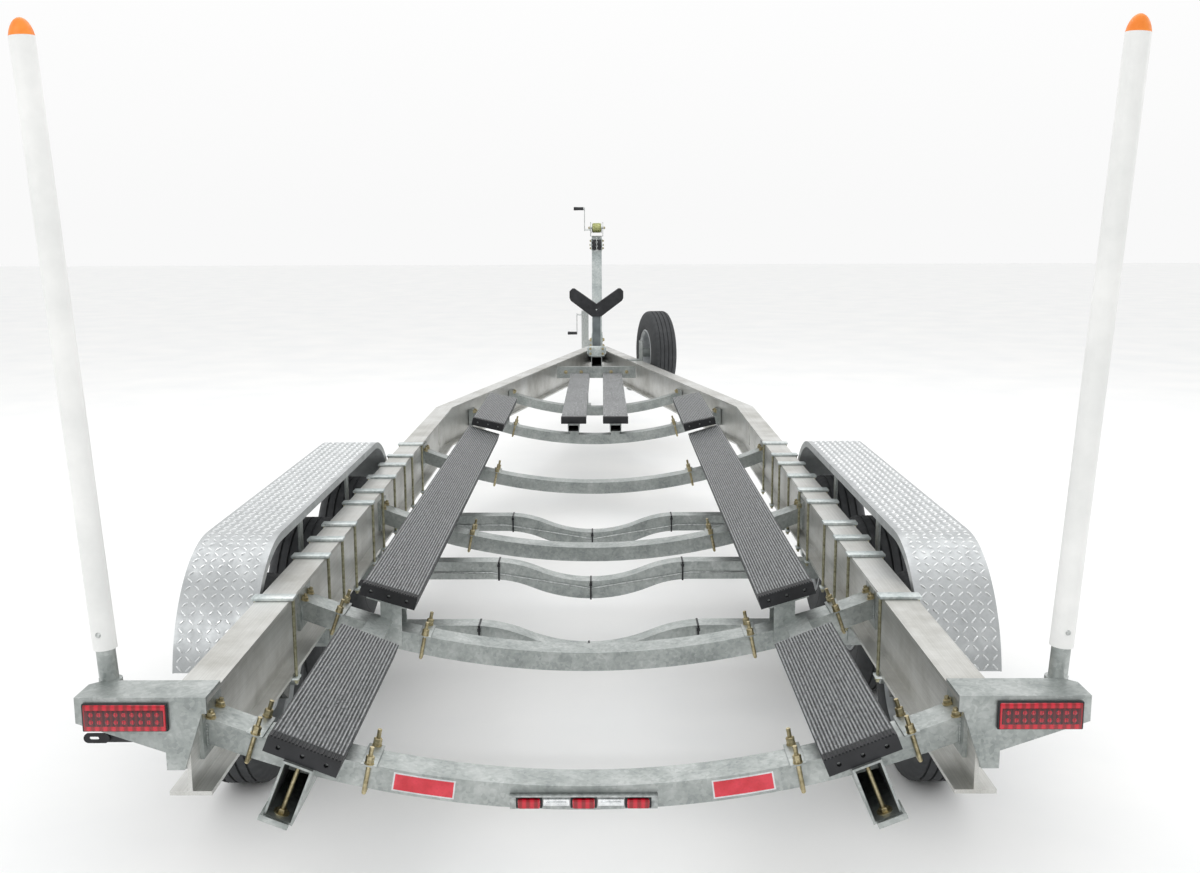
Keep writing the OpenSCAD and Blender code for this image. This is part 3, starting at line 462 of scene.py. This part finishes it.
def buildBeamClamps():  # a flat strap and a bent rod over each beam, with a plate and nuts below
    clamp = {"ahead": (0.84, 1.347, 1.587, 1.825, 2.209, 2.449, 2.765, 3.071, 3.311, 3.66),
             "rod": 0.0055, "strapLong": 0.132, "strapWide": 0.050, "thick": 0.011, "out": 0.0062}
    straps, rods = bmesh.new(), bmesh.new()
    reach = beam["flange"] / 2 + clamp["out"]
    over = beam["top"] + clamp["thick"] / 2
    for _, side in sides:
        for ahead in clamp["ahead"]:
            x = beam["rear"] + ahead
            mid = side * beam["y"]
            wide, long = clamp["strapWide"] / 2, clamp["strapLong"] / 2
            addBlock(straps, (x - wide, mid - long, beam["top"]),
                     (x + wide, mid + long, beam["top"] + clamp["thick"]), 0.003)
            addRod(rods, (x, mid - reach, over), (x, mid + reach, over), clamp["rod"])
            for end in (-1, 1):
                y = mid + end * reach
                addRod(rods, (x, y, over), (x, y, beam["bottom"] - 0.024), clamp["rod"])
                addNut(rods, (x, y, beam["bottom"] - 0.008), (0, 0, -1), 0.017, 0.009, 0, 0.004)
            addBlock(straps, (x - 0.019, mid - reach - 0.011, beam["bottom"] - 0.008),
                     (x + 0.019, mid - beam["flange"] / 2 + 0.004, beam["bottom"] - 0.0005), 0.001)
            addBlock(straps, (x - 0.019, mid + beam["flange"] / 2 - 0.004, beam["bottom"] - 0.008),
                     (x + 0.019, mid + reach + 0.011, beam["bottom"] - 0.0005), 0.001)
    finishPiece("beam_clamp_straps", straps, brightGalvanised, "frame")
    finishPiece("beam_clamp_rods", rods, oliveZinc, "frame")


def buildBunkClamps():  # bent bolts round the bars beside each bunk, nuts and plates on top
    bunkClamp = {"inner": 0.548, "outer": 0.835, "rod": 0.006, "tall": 0.052, "deep": 0.074,
                 "plate": (0.066, 0.021), "nuts": ((0.006, 0.026), (0.018, 0))}  # height, washer
    rods, plates = bmesh.new(), bmesh.new()
    reach = crossmember["deep"] / 2 + bunkClamp["rod"] + 0.001
    for index, x in enumerate(crossmember["x"][:5]):
        for _, side in sides:
            for y in (bunkClamp["inner"], bunkClamp["outer"])[:2 if index < 2 else 1]:
                _, topZ, slope = barMiddle(x, side * y)
                turned = Matrix.Translation((x, side * y, topZ)) @ Matrix.Rotation(slope, 4, "X")
                addBlock(plates, (-bunkClamp["plate"][0], -bunkClamp["plate"][1], 0.0002),
                         (bunkClamp["plate"][0], bunkClamp["plate"][1], 0.006), 0.001, turned)
                feet = []
                for across in (-reach, reach):
                    foot = turned @ Vector((across, 0, -bunkClamp["deep"]))
                    tip = turned @ Vector((across, 0, bunkClamp["tall"]))
                    feet.append(foot)
                    addRod(rods, foot, tip, bunkClamp["rod"])
                    for lift, washer in bunkClamp["nuts"]:
                        addNut(rods, turned @ Vector((across, 0, lift)), tip - foot, 0.020, 0.010, washer, 0)
                addRod(rods, feet[0], feet[1], bunkClamp["rod"])
    finishPiece("bunk_clamp_bolts", rods, yellowZinc, "frame")
    finishPiece("bunk_clamp_plates", plates, galvanised, "frame")


def buildWelds():  # rippled beads where each bar meets its end plate
    weld = {"radius": 0.0045, "pitch": 0.0075, "off": 0.0505, "lift": 0.0325}
    shape = bmesh.new()
    for x in crossmember["x"][:4]:
        for _, side in sides:
            y = side * (beam["y"] - 0.0155)
            mid = barMiddle(x, y - side * 0.02)[0]
            for step in (-1, 1):
                for bead in range(int(crossmember["high"] / weld["pitch"])):
                    place = (x + step * weld["off"], y, mid - 0.030 + bead * weld["pitch"])
                    bmesh.ops.create_uvsphere(shape, u_segments=6, v_segments=4, radius=weld["radius"],
                                              matrix=Matrix.Translation(place))
            for lift in (-1, 1):
                for bead in range(int(crossmember["deep"] / weld["pitch"])):
                    place = (x - 0.048 + bead * weld["pitch"], y, mid + lift * weld["lift"] + 0.002)
                    bmesh.ops.create_uvsphere(shape, u_segments=6, v_segments=4, radius=weld["radius"],
                                              matrix=Matrix.Translation(place))
    finishPiece("crossmember_welds", shape, galvanised, "frame", 80)


def buildTape():  # red reflective strips with pale borders, bent to the rear bar
    tape = {"from": 0.335, "to": 0.485, "high": 0.042, "thick": 0.0006, "border": 0.004, "steps": 20}
    x = crossmember["x"][0] - crossmember["deep"] / 2
    for name, grow, lift, material in (("tape_borders", tape["border"], 0.0003, tapeSilver),
                                       ("red_tape", 0.0, 0.0009, tapeRed)):
        shape = bmesh.new()
        for _, side in sides:
            width = (tape["to"] - tape["from"] + 2 * grow) / tape["steps"]
            for step in range(tape["steps"]):
                y = side * (tape["from"] - grow + (step + 0.5) * width)
                mid, _, slope = barMiddle(crossmember["x"][0], y)
                place = Matrix.Translation((x - lift, y, mid)) @ Matrix.Rotation(slope, 4, "X")
                half = width / 2 / math.cos(slope) + 0.0002
                corner = Vector((tape["thick"] / 2, half, tape["high"] / 2 + grow))
                addBlock(shape, -corner, corner, 0, place)
        finishPiece(name, shape, material, "frame")


tapeRed = reflectiveTape("red_prismatic_tape", "#C8182A", "#E2384A")
tapeSilver = reflectiveTape("silver_prismatic_tape", "#C9CDD0", "#E6E8EA")
buildPlateBolts()
buildBeamClamps()
buildBunkClamps()
buildWelds()
buildTape()
print("beam and crossmember hardware made")


bunk = {  # rear and front end, distance from the centre, height of the top's middle, tilt
    "rear": (-5.856, -5.020, 0.673, 0.654, 22), "main": (-4.696, -1.340, 0.659, 0.708, 17),
    "bow": (-1.366, -0.2208, 0.628, 0.768, 13), "wide": 0.190, "thick": 0.042, "cap": 0.034,
    "rib": 0.0092, "tall": 0.0036, "step": 0.012}
chance = random.Random(7)
ribFinish = wornRibsWithGrooveShade()


def addRibbedSheet(shape, x1, x2, y, z, tilt, side):  # a closed sheet with lengthwise ribs, worn unevenly, with painted shade in the gaps between the ribs
    columns = 4 * int((bunk["wide"] - 0.006) / bunk["rib"])
    along = max(2, round((x2 - x1) / bunk["step"]))
    wear = shape.verts.layers.float.get("wear") or shape.verts.layers.float.new("wear")
    made = bmesh.ops.create_grid(shape, x_segments=along, y_segments=columns, size=0.5)["verts"]
    for vert in made:
        row = round((vert.co.y + 0.5) * columns)
        lift = 1.0 if row % 4 in (1, 2) and 0 < row < columns else 0.0
        worn = 0.62 + 0.5 * chance.random()
        vert.co.z = 0.0004 + bunk["tall"] * lift * worn
        # rib tops get wear; gap vertices get 0 or 0.55 at random, and 0 shows as painted near-black shade in
        # the grooves
        vert[wear] = 0.75 + 0.55 * worn if lift else (0.0 if chance.random() < 0.55 else 0.55)
        vert.co.y += chance.uniform(-0.12, 0.12) / columns if 0 < row < columns else 0
    turned = (Matrix.Scale(side, 4, (0, 1, 0)) @ Matrix.Translation(((x1 + x2) / 2, y, z))
              @ Matrix.Rotation(math.radians(tilt), 4, "X")
              @ Matrix.Diagonal((x2 - x1, bunk["wide"] - 0.004, 1, 1)))
    rim = [edge for edge in {e for v in made for e in v.link_edges} if edge.is_boundary]
    skirt = bmesh.ops.extrude_edge_only(shape, edges=rim)["geom"]
    lower = [item for item in skirt if isinstance(item, bmesh.types.BMVert)]
    for vert in lower:
        vert.co.z = -0.0015
    bmesh.ops.contextual_create(shape, geom=[e for e in skirt if isinstance(e, bmesh.types.BMEdge)
                                             and e.verts[0] in lower and e.verts[1] in lower])
    bmesh.ops.transform(shape, matrix=turned, verts=made + lower)


for row in ("rear", "main", "bow"):
    x1, x2, y, z, tilt = bunk[row]
    ribs, caps = bmesh.new(), bmesh.new()
    for _, side in sides:
        addRibbedSheet(ribs, x1 + 0.001, x2 - 0.001, y, z, tilt, side)
        addRibbedSheet(caps, x1 - bunk["cap"] + 0.003, x1 - 0.001, y, z, tilt, side)
    finishPiece(row + "_bunk_ribs", ribs, ribFinish, "frame", 30)
    finishPiece(row + "_cap_ribs", caps, blackPlastic, "frame", 30)


def buildCapScrews():  # a head deep in each of the three holes of an end cap
    screw = {"across": (-0.062, 0, 0.062), "radius": 0.0048, "in": 0.011, "long": 0.004}
    shape = bmesh.new()
    for row in ("rear", "main", "bow"):
        x1, _, y, z, tilt = bunk[row]
        for _, side in sides:
            turned = (Matrix.Scale(side, 4, (0, 1, 0)) @ Matrix.Translation((x1 - bunk["cap"], y, z))
                      @ Matrix.Rotation(math.radians(tilt), 4, "X"))
            for across in screw["across"]:
                place = turned @ Vector((screw["in"], across, -bunk["thick"] / 2))
                addRod(shape, place, place + Vector((screw["long"], 0, 0)), screw["radius"], 10)
    finishPiece("cap_screws", shape, finishes["line_steel"], "frame")


def buildKeelCaps():  # black caps on the rear ends of the two centre bunks
    cap = {"near": 0.0555, "far": 0.2245, "back": 0.014, "ahead": 0.026, "over": 0.003, "bevel": 0.004}
    low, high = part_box("keel_bunks")
    shape = bmesh.new()
    for _, side in sides:
        near, far = sorted((side * cap["near"], side * cap["far"]))
        addBlock(shape, (low.x - cap["back"], near, low.z - cap["over"]),
                 (low.x + cap["ahead"], far, high.z + cap["over"]), cap["bevel"])
    finishPiece("keel_bunk_caps", shape, blackPlastic, "frame")


def buildStringerEnds():  # bolt inside each open end, plate and bent foot below
    stringer = {"back": -5.900, "bolt": 0.006, "half": 0.076, "drop": 0.118}
    bolts, feet = bmesh.new(), bmesh.new()
    _, _, y, z, tilt = bunk["rear"]
    for _, side in sides:
        turned = (Matrix.Scale(side, 4, (0, 1, 0)) @ Matrix.Translation((stringer["back"], y, z))
                  @ Matrix.Rotation(math.radians(tilt), 4, "X")
                  @ Matrix.Translation((0, 0, -stringer["drop"])))
        top, low = turned @ Vector((0.034, 0, 0.092)), turned @ Vector((0.034, 0, -0.098))
        addRod(bolts, low, top, stringer["bolt"], 12)
        for lift, way in ((0.070, -1), (-0.070, 1), (-0.088, -1)):
            addNut(bolts, turned @ Vector((0.034, 0, lift)), (top - low) * way, 0.022, 0.010, 0.040, 0)
        addBlock(feet, (-0.006, -0.030, -0.086), (0.075, 0.046, -0.0765), 0.002, turned)
        addBlock(feet, (-0.012, -0.030, -0.086), (-0.006, 0.046, -0.070), 0.0015, turned)
    finishPiece("stringer_bolts", bolts, yellowZinc, "frame")
    finishPiece("stringer_feet", feet, galvanised, "frame")


buildCapScrews()
buildKeelCaps()
buildStringerEnds()
print("bunk ribs and fittings made")


rubbedTread = platedSteel("rubbed_aluminium_tread_bars", "#CED1D2", "#EDEFEF", 0.24)


def buildTread():  # raised lens-shaped bars, turned one way and then the other
    tread = {"pitch": 0.029, "long": 0.026, "wide": 0.0074, "tall": 0.0030}
    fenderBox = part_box("left_fender")
    outer, inner = fenderBox[1].y, fenderBox[0].y
    radius, top = 0.424, fenderBox[1].z
    start = math.asin(1 - (top - fenderBox[0].z) / radius)
    rearX = fenderBox[0].x + radius * math.cos(start)
    frontX = fenderBox[1].x - radius * math.cos(start)
    arc = radius * (math.pi / 2 - start)
    flat = frontX - rearX
    for name, side in sides:
        shape = bmesh.new()
        for row in range(int((2 * arc + flat) / tread["pitch"])):
            s = (row + 0.5) * tread["pitch"]
            if s < arc:
                angle = start + s / radius
                place = (rearX - radius * math.cos(angle), top - radius + radius * math.sin(angle))
                tip = math.pi / 2 - angle
            elif s < arc + flat:
                place, tip = (rearX + s - arc, top), 0.0
            else:
                angle = (s - arc - flat) / radius
                place = (frontX + radius * math.sin(angle), top - radius + radius * math.cos(angle))
                tip = -angle
            along = Matrix.Translation((place[0], 0, place[1])) @ Matrix.Rotation(-tip, 4, "Y")
            for column in range(int((outer - inner - 0.012) / tread["pitch"])):
                y = side * (inner + 0.016 + (column + 0.5) * tread["pitch"])
                yaw = math.radians(45 if (row + column) % 2 else -45)
                matrix = (along @ Matrix.Translation((0, y, tread["tall"] / 2)) @ Matrix.Rotation(yaw, 4, "Z")
                          @ Matrix.Diagonal((tread["long"] / 2, tread["wide"] / 2, 1, 1)))
                bmesh.ops.create_cone(shape, cap_ends=True, segments=8, radius1=1, radius2=0.5,
                                      depth=tread["tall"], matrix=matrix)
        finishPiece(name + "_fender_tread", shape, rubbedTread, "frame", 25)


buildTread()
print("fender tread made")


tyre = {"radius": 0.360, "half": 0.1075, "bead": 0.196, "steps": 144, "groove": 0.0085, "deep": 0.0075,
        "grooves": (-0.052, -0.018, 0.018, 0.052), "notch": 0.0032}


def buildTyre(name, node, body, turned):
    r, w = tyre["radius"], tyre["half"]
    side = [(tyre["bead"] - 0.006, w - 0.026), (tyre["bead"] + 0.008, w - 0.012),
            (tyre["bead"] + 0.030, w - 0.003),
            (r - 0.118, w - 0.001), (r - 0.092, w), (r - 0.076, w - 0.0010), (r - 0.074, w - 0.0026),
            (r - 0.060, w - 0.0032), (r - 0.044, w - 0.0078), (r - 0.030, w - 0.0130),
            (r - 0.020, w - 0.0185), (r - 0.012, w - 0.0240), (r - 0.003, w - 0.0380)]
    crown = []
    for place in reversed(tyre["grooves"]):
        for offset, drop in ((1, 0), (0.8, 1), (-0.8, 1), (-1, 0)):
            crown.append((r - tyre["deep"] * drop - 0.0002, place + offset * tyre["groove"] / 2))
    outline = side + crown + [(across, -y) for across, y in reversed(side)]
    shape = bmesh.new()
    ring = [shape.verts.new((0, y, across)) for across, y in outline]
    edges = [shape.edges.new((ring[i], ring[(i + 1) % len(ring)])) for i in range(len(ring))]
    bmesh.ops.spin(shape, geom=ring + edges, cent=(0, 0, 0), axis=(0, 1, 0), angle=2 * math.pi,
                   steps=tyre["steps"], use_merge=True)
    for vert in shape.verts:
        across = math.hypot(vert.co.x, vert.co.z)
        step = round(math.atan2(vert.co.x, vert.co.z) / (2 * math.pi) * tyre["steps"]) % 3
        if step == 0 and r - 0.021 < across and (abs(vert.co.y) > 0.024):
            if across > r - 0.0045 or abs(vert.co.y) > 0.065:
                vert.co.x *= 1 - tyre["notch"] / across
                vert.co.z *= 1 - tyre["notch"] / across
    bmesh.ops.transform(shape, matrix=turned, verts=shape.verts)
    piece = finishPiece(name, shape, finishes["tyre_rubber"], body, 35)
    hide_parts(node)


def buildLugNuts(name, body, turned, outward):
    lug = {"count": 6, "circle": 0.070, "face": 0.034, "across": 0.021, "tall": 0.020}
    shape = bmesh.new()
    for index in range(lug["count"]):
        angle = 2 * math.pi * index / lug["count"]
        place = turned @ Vector((lug["circle"] * math.cos(angle), outward * lug["face"],
                                 lug["circle"] * math.sin(angle)))
        along = turned.to_3x3() @ Vector((0, outward, 0))
        addNut(shape, place, along, lug["across"], lug["tall"], 0.0, 0)
    finishPiece(name, shape, brightZinc, body)


for name, side in sides:
    for place in ("rear", "middle", "front"):
        wheel = f"{name}_{place}"
        turned = Matrix.Translation(middle(wheel + "_tyre"))
        buildTyre(wheel + "_tread_tyre", wheel + "_tyre", wheel + "_wheel", turned)
        buildLugNuts(wheel + "_lug_nuts", wheel + "_wheel", turned, side)
spareTurn = Matrix.Translation(middle("spare_tyre")) @ Matrix.Rotation(beam["taper"], 4, "Z")
buildTyre("spare_tread_tyre", "spare_tyre", "frame", spareTurn)
print("tyres made")


def buildCableTies():  # black ties that hold the brake lines on the axle tubes
    tie = {"wide": 0.007, "thick": 0.0016, "half": 0.0385}
    shape = bmesh.new()
    for name in ("rear", "middle", "front"):
        x = middle(f"left_{name}_tyre").x + 0.150
        for y in (-0.39, 0.0, 0.39):
            top = touch("axles", (x, y, 0.56), (0, 0, -1))[0].z
            mid = top - 0.038
            reach = tie["half"] + tie["thick"]
            back, half = -reach - 0.009, tie["half"]
            for low, high in (((back, half), (reach, reach)), ((back, -reach), (reach, -half)),
                              ((back, -reach), (-half - 0.009, reach)), ((half, -reach), (reach, reach))):
                addBlock(shape, (x + low[0], y - tie["wide"] / 2, mid + low[1]),
                         (x + high[0], y + tie["wide"] / 2, mid + high[1]))
            addBlock(shape, (x + back - 0.004, y - 0.006, mid + 0.020),
                     (x + back + 0.001, y + 0.006, mid + 0.032), 0.001)  # the tie's head
    finishPiece("cable_ties", shape, blackPlastic, "frame")


buildCableTies()


darkRed = ribbedLens("dark_red_acrylic", "#38030B", "#5E0714", 0.006)
ledRed = ribbedLens("red_led_domes", "#8A0C1E", "#C01A30", 0.003)
chrome = platedSteel("polished_chrome_plate", "#D3D6D8", "#F2F4F5", 0.12)


def buildTailLights():
    light = {"leds": 9, "led": 0.0058, "band": 0.0150, "proud": 0.013, "low": 0.686, "high": 0.757}
    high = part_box("tail_lights")[1]
    outer, inner, back = high.y, high.y - 0.210, high.x - light["proud"]
    housing, lens, window, leds = bmesh.new(), bmesh.new(), bmesh.new(), bmesh.new()
    for _, side in sides:
        near, far = sorted((side * inner, side * outer))
        addBlock(housing, (back + 0.003, near, light["low"]), (high.x, far, light["high"]), 0.003)
        addBlock(lens, (back, near + 0.004, light["low"] + 0.002),
                 (back + 0.008, far - 0.004, light["high"] - 0.002), 0.003)
        addBlock(window, (back - 0.0010, near + 0.009, light["low"] + light["band"]),
                 (back + 0.004, far - 0.009, light["high"] - light["band"]), 0.0008)
        for index in range(light["leds"]):
            for row in (-1, 1):
                y = near + 0.024 + (far - near - 0.048) * index / (light["leds"] - 1)
                z = (light["low"] + light["high"]) / 2 + row * 0.0095
                matrix = Matrix.Translation((back - 0.0008, y, z)) @ Matrix.Diagonal((0.3, 1, 1, 1))
                bmesh.ops.create_uvsphere(leds, u_segments=12, v_segments=8, radius=light["led"],
                                          matrix=matrix)
    finishPiece("tail_light_housings", housing, blackPlastic, "frame")
    piece = finishPiece("tail_light_lenses", lens, finishes["red_lens"], "frame")
    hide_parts("tail_lights")
    finishPiece("tail_light_windows", window, darkRed, "frame")
    finishPiece("tail_light_leds", leds, ledRed, "frame")


def addSlotLoop(shape, center, z, reach, radius, steps=16):  # a flat stadium outline, ends rounded
    made = bmesh.ops.create_circle(shape, segments=2 * steps, radius=radius,
                                   matrix=Matrix.Rotation(math.pi / 2, 4, "Y"))["verts"]
    for vert in made:
        vert.co.y += math.copysign(reach, vert.co.y) if abs(vert.co.y) > 1e-6 else 0
    bmesh.ops.translate(shape, verts=made, vec=(0, center, z))
    return list({edge for vert in made for edge in vert.link_edges})


def buildLicenceArm():  # flat black arm with a rounded, slotted end, held in front of the left gusset
    arm = {"x": -5.8395, "inner": 1.036, "outer": 1.2280, "z": 0.664, "half": 0.0125, "thick": 0.005,
           "slot": (1.2020, 0.008, 0.0042), "end": 1.196}
    shape = bmesh.new()
    reach = arm["outer"] - arm["half"] - arm["end"]
    outerLoop = addSlotLoop(shape, arm["end"], arm["z"], reach, arm["half"])
    innerLoop = addSlotLoop(shape, arm["slot"][0], arm["z"], arm["slot"][1], arm["slot"][2])
    faces = bmesh.ops.bridge_loops(shape, edges=outerLoop + innerLoop)["faces"]
    bmesh.ops.recalc_face_normals(shape, faces=faces)
    bmesh.ops.solidify(shape, geom=faces, thickness=arm["thick"])
    bmesh.ops.translate(shape, verts=shape.verts, vec=(arm["x"], 0, 0))
    addBlock(shape, (arm["x"] + 0.0002, arm["inner"], arm["z"] - arm["half"]),
             (arm["x"] + arm["thick"] - 0.0002, arm["end"] - reach - 0.004, arm["z"] + arm["half"]), 0.001)
    piece = finishPiece("slotted_licence_arm", shape, blackPlastic, "frame")
    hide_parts("licence_bracket")


def buildMarkerBar():  # three domed lamps on a folded bar, with bright plates between
    marker = {"lamp": (0.029, 0.013), "plate": (0.034, 0.0095), "apart": 0.140}
    low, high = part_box("marker_bar")
    mid = (low.z + high.z) / 2
    bar, lamp, plates, bases = bmesh.new(), bmesh.new(), bmesh.new(), bmesh.new()
    addBlock(bar, (high.x - 0.004, low.y, low.z), (high.x, high.y, high.z), 0.0012)
    addBlock(bar, (low.x + 0.001, low.y, high.z - 0.003), (high.x, high.y, high.z), 0.001)
    for step in (-1, 0, 1):
        y = step * marker["apart"]
        addBlock(bases, (high.x - 0.009, y - 0.034, mid - 0.017), (high.x - 0.003, y + 0.034, mid + 0.015),
                 0.002)
        addBlock(lamp, (low.x, y - marker["lamp"][0], mid - marker["lamp"][1] - 0.001),
                 (high.x - 0.007, y + marker["lamp"][0], mid + marker["lamp"][1] - 0.001), 0.0055)
    for step in (-0.5, 0.5):
        y = step * marker["apart"]
        addBlock(plates, (high.x - 0.008, y - marker["plate"][0], mid - marker["plate"][1] - 0.002),
                 (high.x - 0.003, y + marker["plate"][0], mid + marker["plate"][1] - 0.002), 0.0015)
        addBlock(plates, (high.x - 0.011, y - marker["plate"][0] + 0.008, mid - 0.004),
                 (high.x - 0.007, y + marker["plate"][0] - 0.008, mid + 0.001), 0.001)
    piece = finishPiece("marker_bar_plate", bar, finishes["line_steel"], "frame")
    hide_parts("marker_bar")
    finishPiece("marker_lamps", lamp, finishes["red_lens"], "frame")
    finishPiece("marker_lamp_bases", bases, blackPlastic, "frame")
    finishPiece("marker_bright_plates", plates, chrome, "frame")


def buildTailHardware():  # screws in the sleeves, bolts in the tail plates
    screws, bolts = bmesh.new(), bmesh.new()
    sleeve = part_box("guide_sleeves")
    for _, side in sides:
        foot = side * 1.2185
        found = touch("guide_sleeves", (-6.2, foot, sleeve[0].z + 0.045), (1, 0, 0))
        if found:
            place = found[0]
            addRod(screws, place + Vector((0.001, 0, 0)), place + Vector((-0.0035, 0, 0)), 0.0075, 16, 0.0055)
            addBlock(screws, place + Vector((-0.0042, -0.005, -0.0009)),
                     place + Vector((-0.003, 0.005, 0.0009)))
        for y, z in ((0.945, 0.735), (0.955, 0.620)):
            found = touch("tail_brackets", (-5.6, side * y, z), (-1, 0, 0))
            if found:
                addNut(bolts, found[0], (1, 0, 0), 0.022, 0.011, 0.034, 0.007)
    finishPiece("sleeve_screws", screws, brightZinc, "frame")
    finishPiece("tail_plate_bolts", bolts, yellowZinc, "frame")


buildTailLights()
buildLicenceArm()
buildMarkerBar()
buildTailHardware()
print("lights made")


def buildGrip(name, node, body):  # tapered black grip over the end of a handle
    low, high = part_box(node)
    grip = {"long": 0.102, "in": 0.0150, "steps": 24}
    tip = high.y
    z = high.z - grip["in"] if node == "winch_crank" else low.z + grip["in"]
    x = (low.x + high.x) / 2
    shape = bmesh.new()
    outline = [(0.0125, 0), (0.0165, 0.003), (0.0160, 0.020), (0.0162, 0.055), (0.0178, 0.085),
               (0.0175, 0.098), (0.0120, 0.1025)]
    ring = [shape.verts.new((across, tip - grip["long"] + y, 0)) for across, y in outline]
    edges = [shape.edges.new((ring[i], ring[i + 1])) for i in range(len(ring) - 1)]
    bmesh.ops.spin(shape, geom=ring + edges, cent=(0, 0, 0), axis=(0, 1, 0), angle=2 * math.pi,
                   steps=grip["steps"], use_merge=True)
    bmesh.ops.holes_fill(shape, edges=[e for e in shape.edges if e.is_boundary], sides=0)
    bmesh.ops.translate(shape, verts=shape.verts, vec=(x, 0, z))
    finishPiece(name, shape, blackPlastic, body)


def addRing(shape, turned, radius, thick, steps=24, sides=8, stretch=1.0):
    place = Matrix.Translation((radius, 0, 0)) @ Matrix.Rotation(math.pi / 2, 4, "X")
    circle = bmesh.ops.create_circle(shape, segments=sides, radius=thick, matrix=place)["verts"]
    edges = list({edge for vert in circle for edge in vert.link_edges})
    before = set(shape.verts) - set(circle)
    bmesh.ops.spin(shape, geom=circle + edges, cent=(0, 0, 0), axis=(0, 0, 1), angle=2 * math.pi, steps=steps,
                   use_merge=True)
    made = [vert for vert in shape.verts if vert not in before]
    bmesh.ops.transform(shape, matrix=turned @ Matrix.Diagonal((1, stretch, 1, 1)), verts=made)


def buildWinchDetail():
    winch = {"layers": ((0.037, 9), (0.0455, 8)), "pitch": 0.0102, "line": 0.0050, "links": 7}
    rope, gear, chain = bmesh.new(), bmesh.new(), bmesh.new()
    center = middle("winch_drum")
    quarter = Matrix.Rotation(math.pi / 2, 4, "X")
    for layer, count in winch["layers"]:
        for index in range(count):
            y = (index - (count - 1) / 2) * winch["pitch"]
            addRing(rope, Matrix.Translation((center.x, y, center.z)) @ quarter, layer, winch["line"])
    for side in (-1, 1):
        addNut(gear, (center.x, side * 0.072, center.z), (0, side, 0), 0.022, 0.010, 0.030, 0.004)
    coated = platedSteel("yellow_coated_winch_line", "#8F9358", "#D5D8A4", 0.45)
    finishPiece("winch_line", rope, coated, "winch_drum")
    finishPiece("winch_drum_nuts", gear, yellowZinc, "winch_drum")
    roller = middle("bow_roller")
    x = roller.x - 0.061
    for index in range(winch["links"]):
        z = roller.z + 0.068 - index * 0.0195
        turned = Matrix.Translation((x, 0, z)) @ Matrix.Rotation(math.pi / 2, 4, "Y")
        if index % 2:
            turned = turned @ Matrix.Rotation(math.pi / 2, 4, "X")
        addRing(chain, turned, 0.0095, 0.0026, 16, 6, 0.72)
    addRod(chain, (x + 0.012, 0, roller.z + 0.074), (roller.x + 0.06, 0, roller.z + 0.074), 0.005, 12)
    finishPiece("winch_chain", chain, brightZinc, "frame")


def buildPostBolts():  # bolts in the winch post, the bow rest, the roller ears and the tongue plate
    shape = bmesh.new()
    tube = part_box("tongue_tube")
    post = middle("winch_post")
    for _, side in sides:
        for x in (post.x - 0.062, post.x + 0.062):
            for z in (tube[1].z - 0.020, tube[1].z + 0.045):
                found = touch("winch_post", (x, side * 0.4, z), (0, -side, 0))
                if found:
                    addNut(shape, found[0], (0, side, 0), 0.022, 0.012, 0.034, 0.007)
        for z in (-0.035, 0.040):
            found = touch("roller_bracket", (post.x, side * 0.3, middle("bow_roller").z + z), (0, -side, 0))
            if found:
                addNut(shape, found[0], (0, side, 0), 0.019, 0.010, 0.028, 0.005)
        roller = middle("bow_roller")
        addNut(shape, (roller.x, side * 0.0655, roller.z), (0, side, 0), 0.019, 0.008, 0, 0)
        rest = middle("bow_rest_post")
        for z in (tube[1].z + 0.024, tube[1].z + 0.072):
            found = touch("bow_rest_post", (rest.x - 0.3, side * 0.049, z), (1, 0, 0))
            if found:
                addNut(shape, found[0] + Vector((0, side * 0.009, 0)), (-1, 0, 0), 0.022, 0.011, 0.030, 0.006)
        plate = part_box("tongue_crossmember")
        for y in (0.13, 0.265):
            found = touch("tongue_crossmember", (plate[0].x - 0.3, side * y, plate[0].z + 0.052), (1, 0, 0))
            if found:
                addNut(shape, found[0], (-1, 0, 0), 0.022, 0.010, 0.032, 0.007)
    finishPiece("front_bolts", shape, yellowZinc, "frame")


def buildSaddle():  # bright clamp with side ears round the foot of the bow rest post
    saddle = {"off": 0.046, "half": 0.075, "far": 0.090, "thick": 0.006, "tall": (0.002, 0.098),
              "ear": (-0.004, 0.060), "earTall": (0.020, 0.082)}
    tube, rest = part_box("tongue_tube"), middle("bow_rest_post")
    shape = bmesh.new()
    x, z = rest.x - saddle["off"], tube[1].z
    addBlock(shape, (x - saddle["thick"], -saddle["half"], z + saddle["tall"][0]),
             (x - 0.0002, saddle["half"], z + saddle["tall"][1]), 0.0015)
    for _, side in sides:
        near, far = sorted((side * saddle["half"], side * saddle["far"]))
        addBlock(shape, (x + saddle["ear"][0], near, z + saddle["earTall"][0]),
                 (x + saddle["ear"][1], far, z + saddle["earTall"][1]), 0.002)
    finishPiece("bow_rest_saddle", shape, brightGalvanised, "frame")


buildGrip("winch_grip", "winch_crank", "winch_crank")
buildGrip("jack_grip", "jack_crank", "jack_crank")
buildWinchDetail()
buildPostBolts()
buildSaddle()
print("winch, jack and bow rest made")
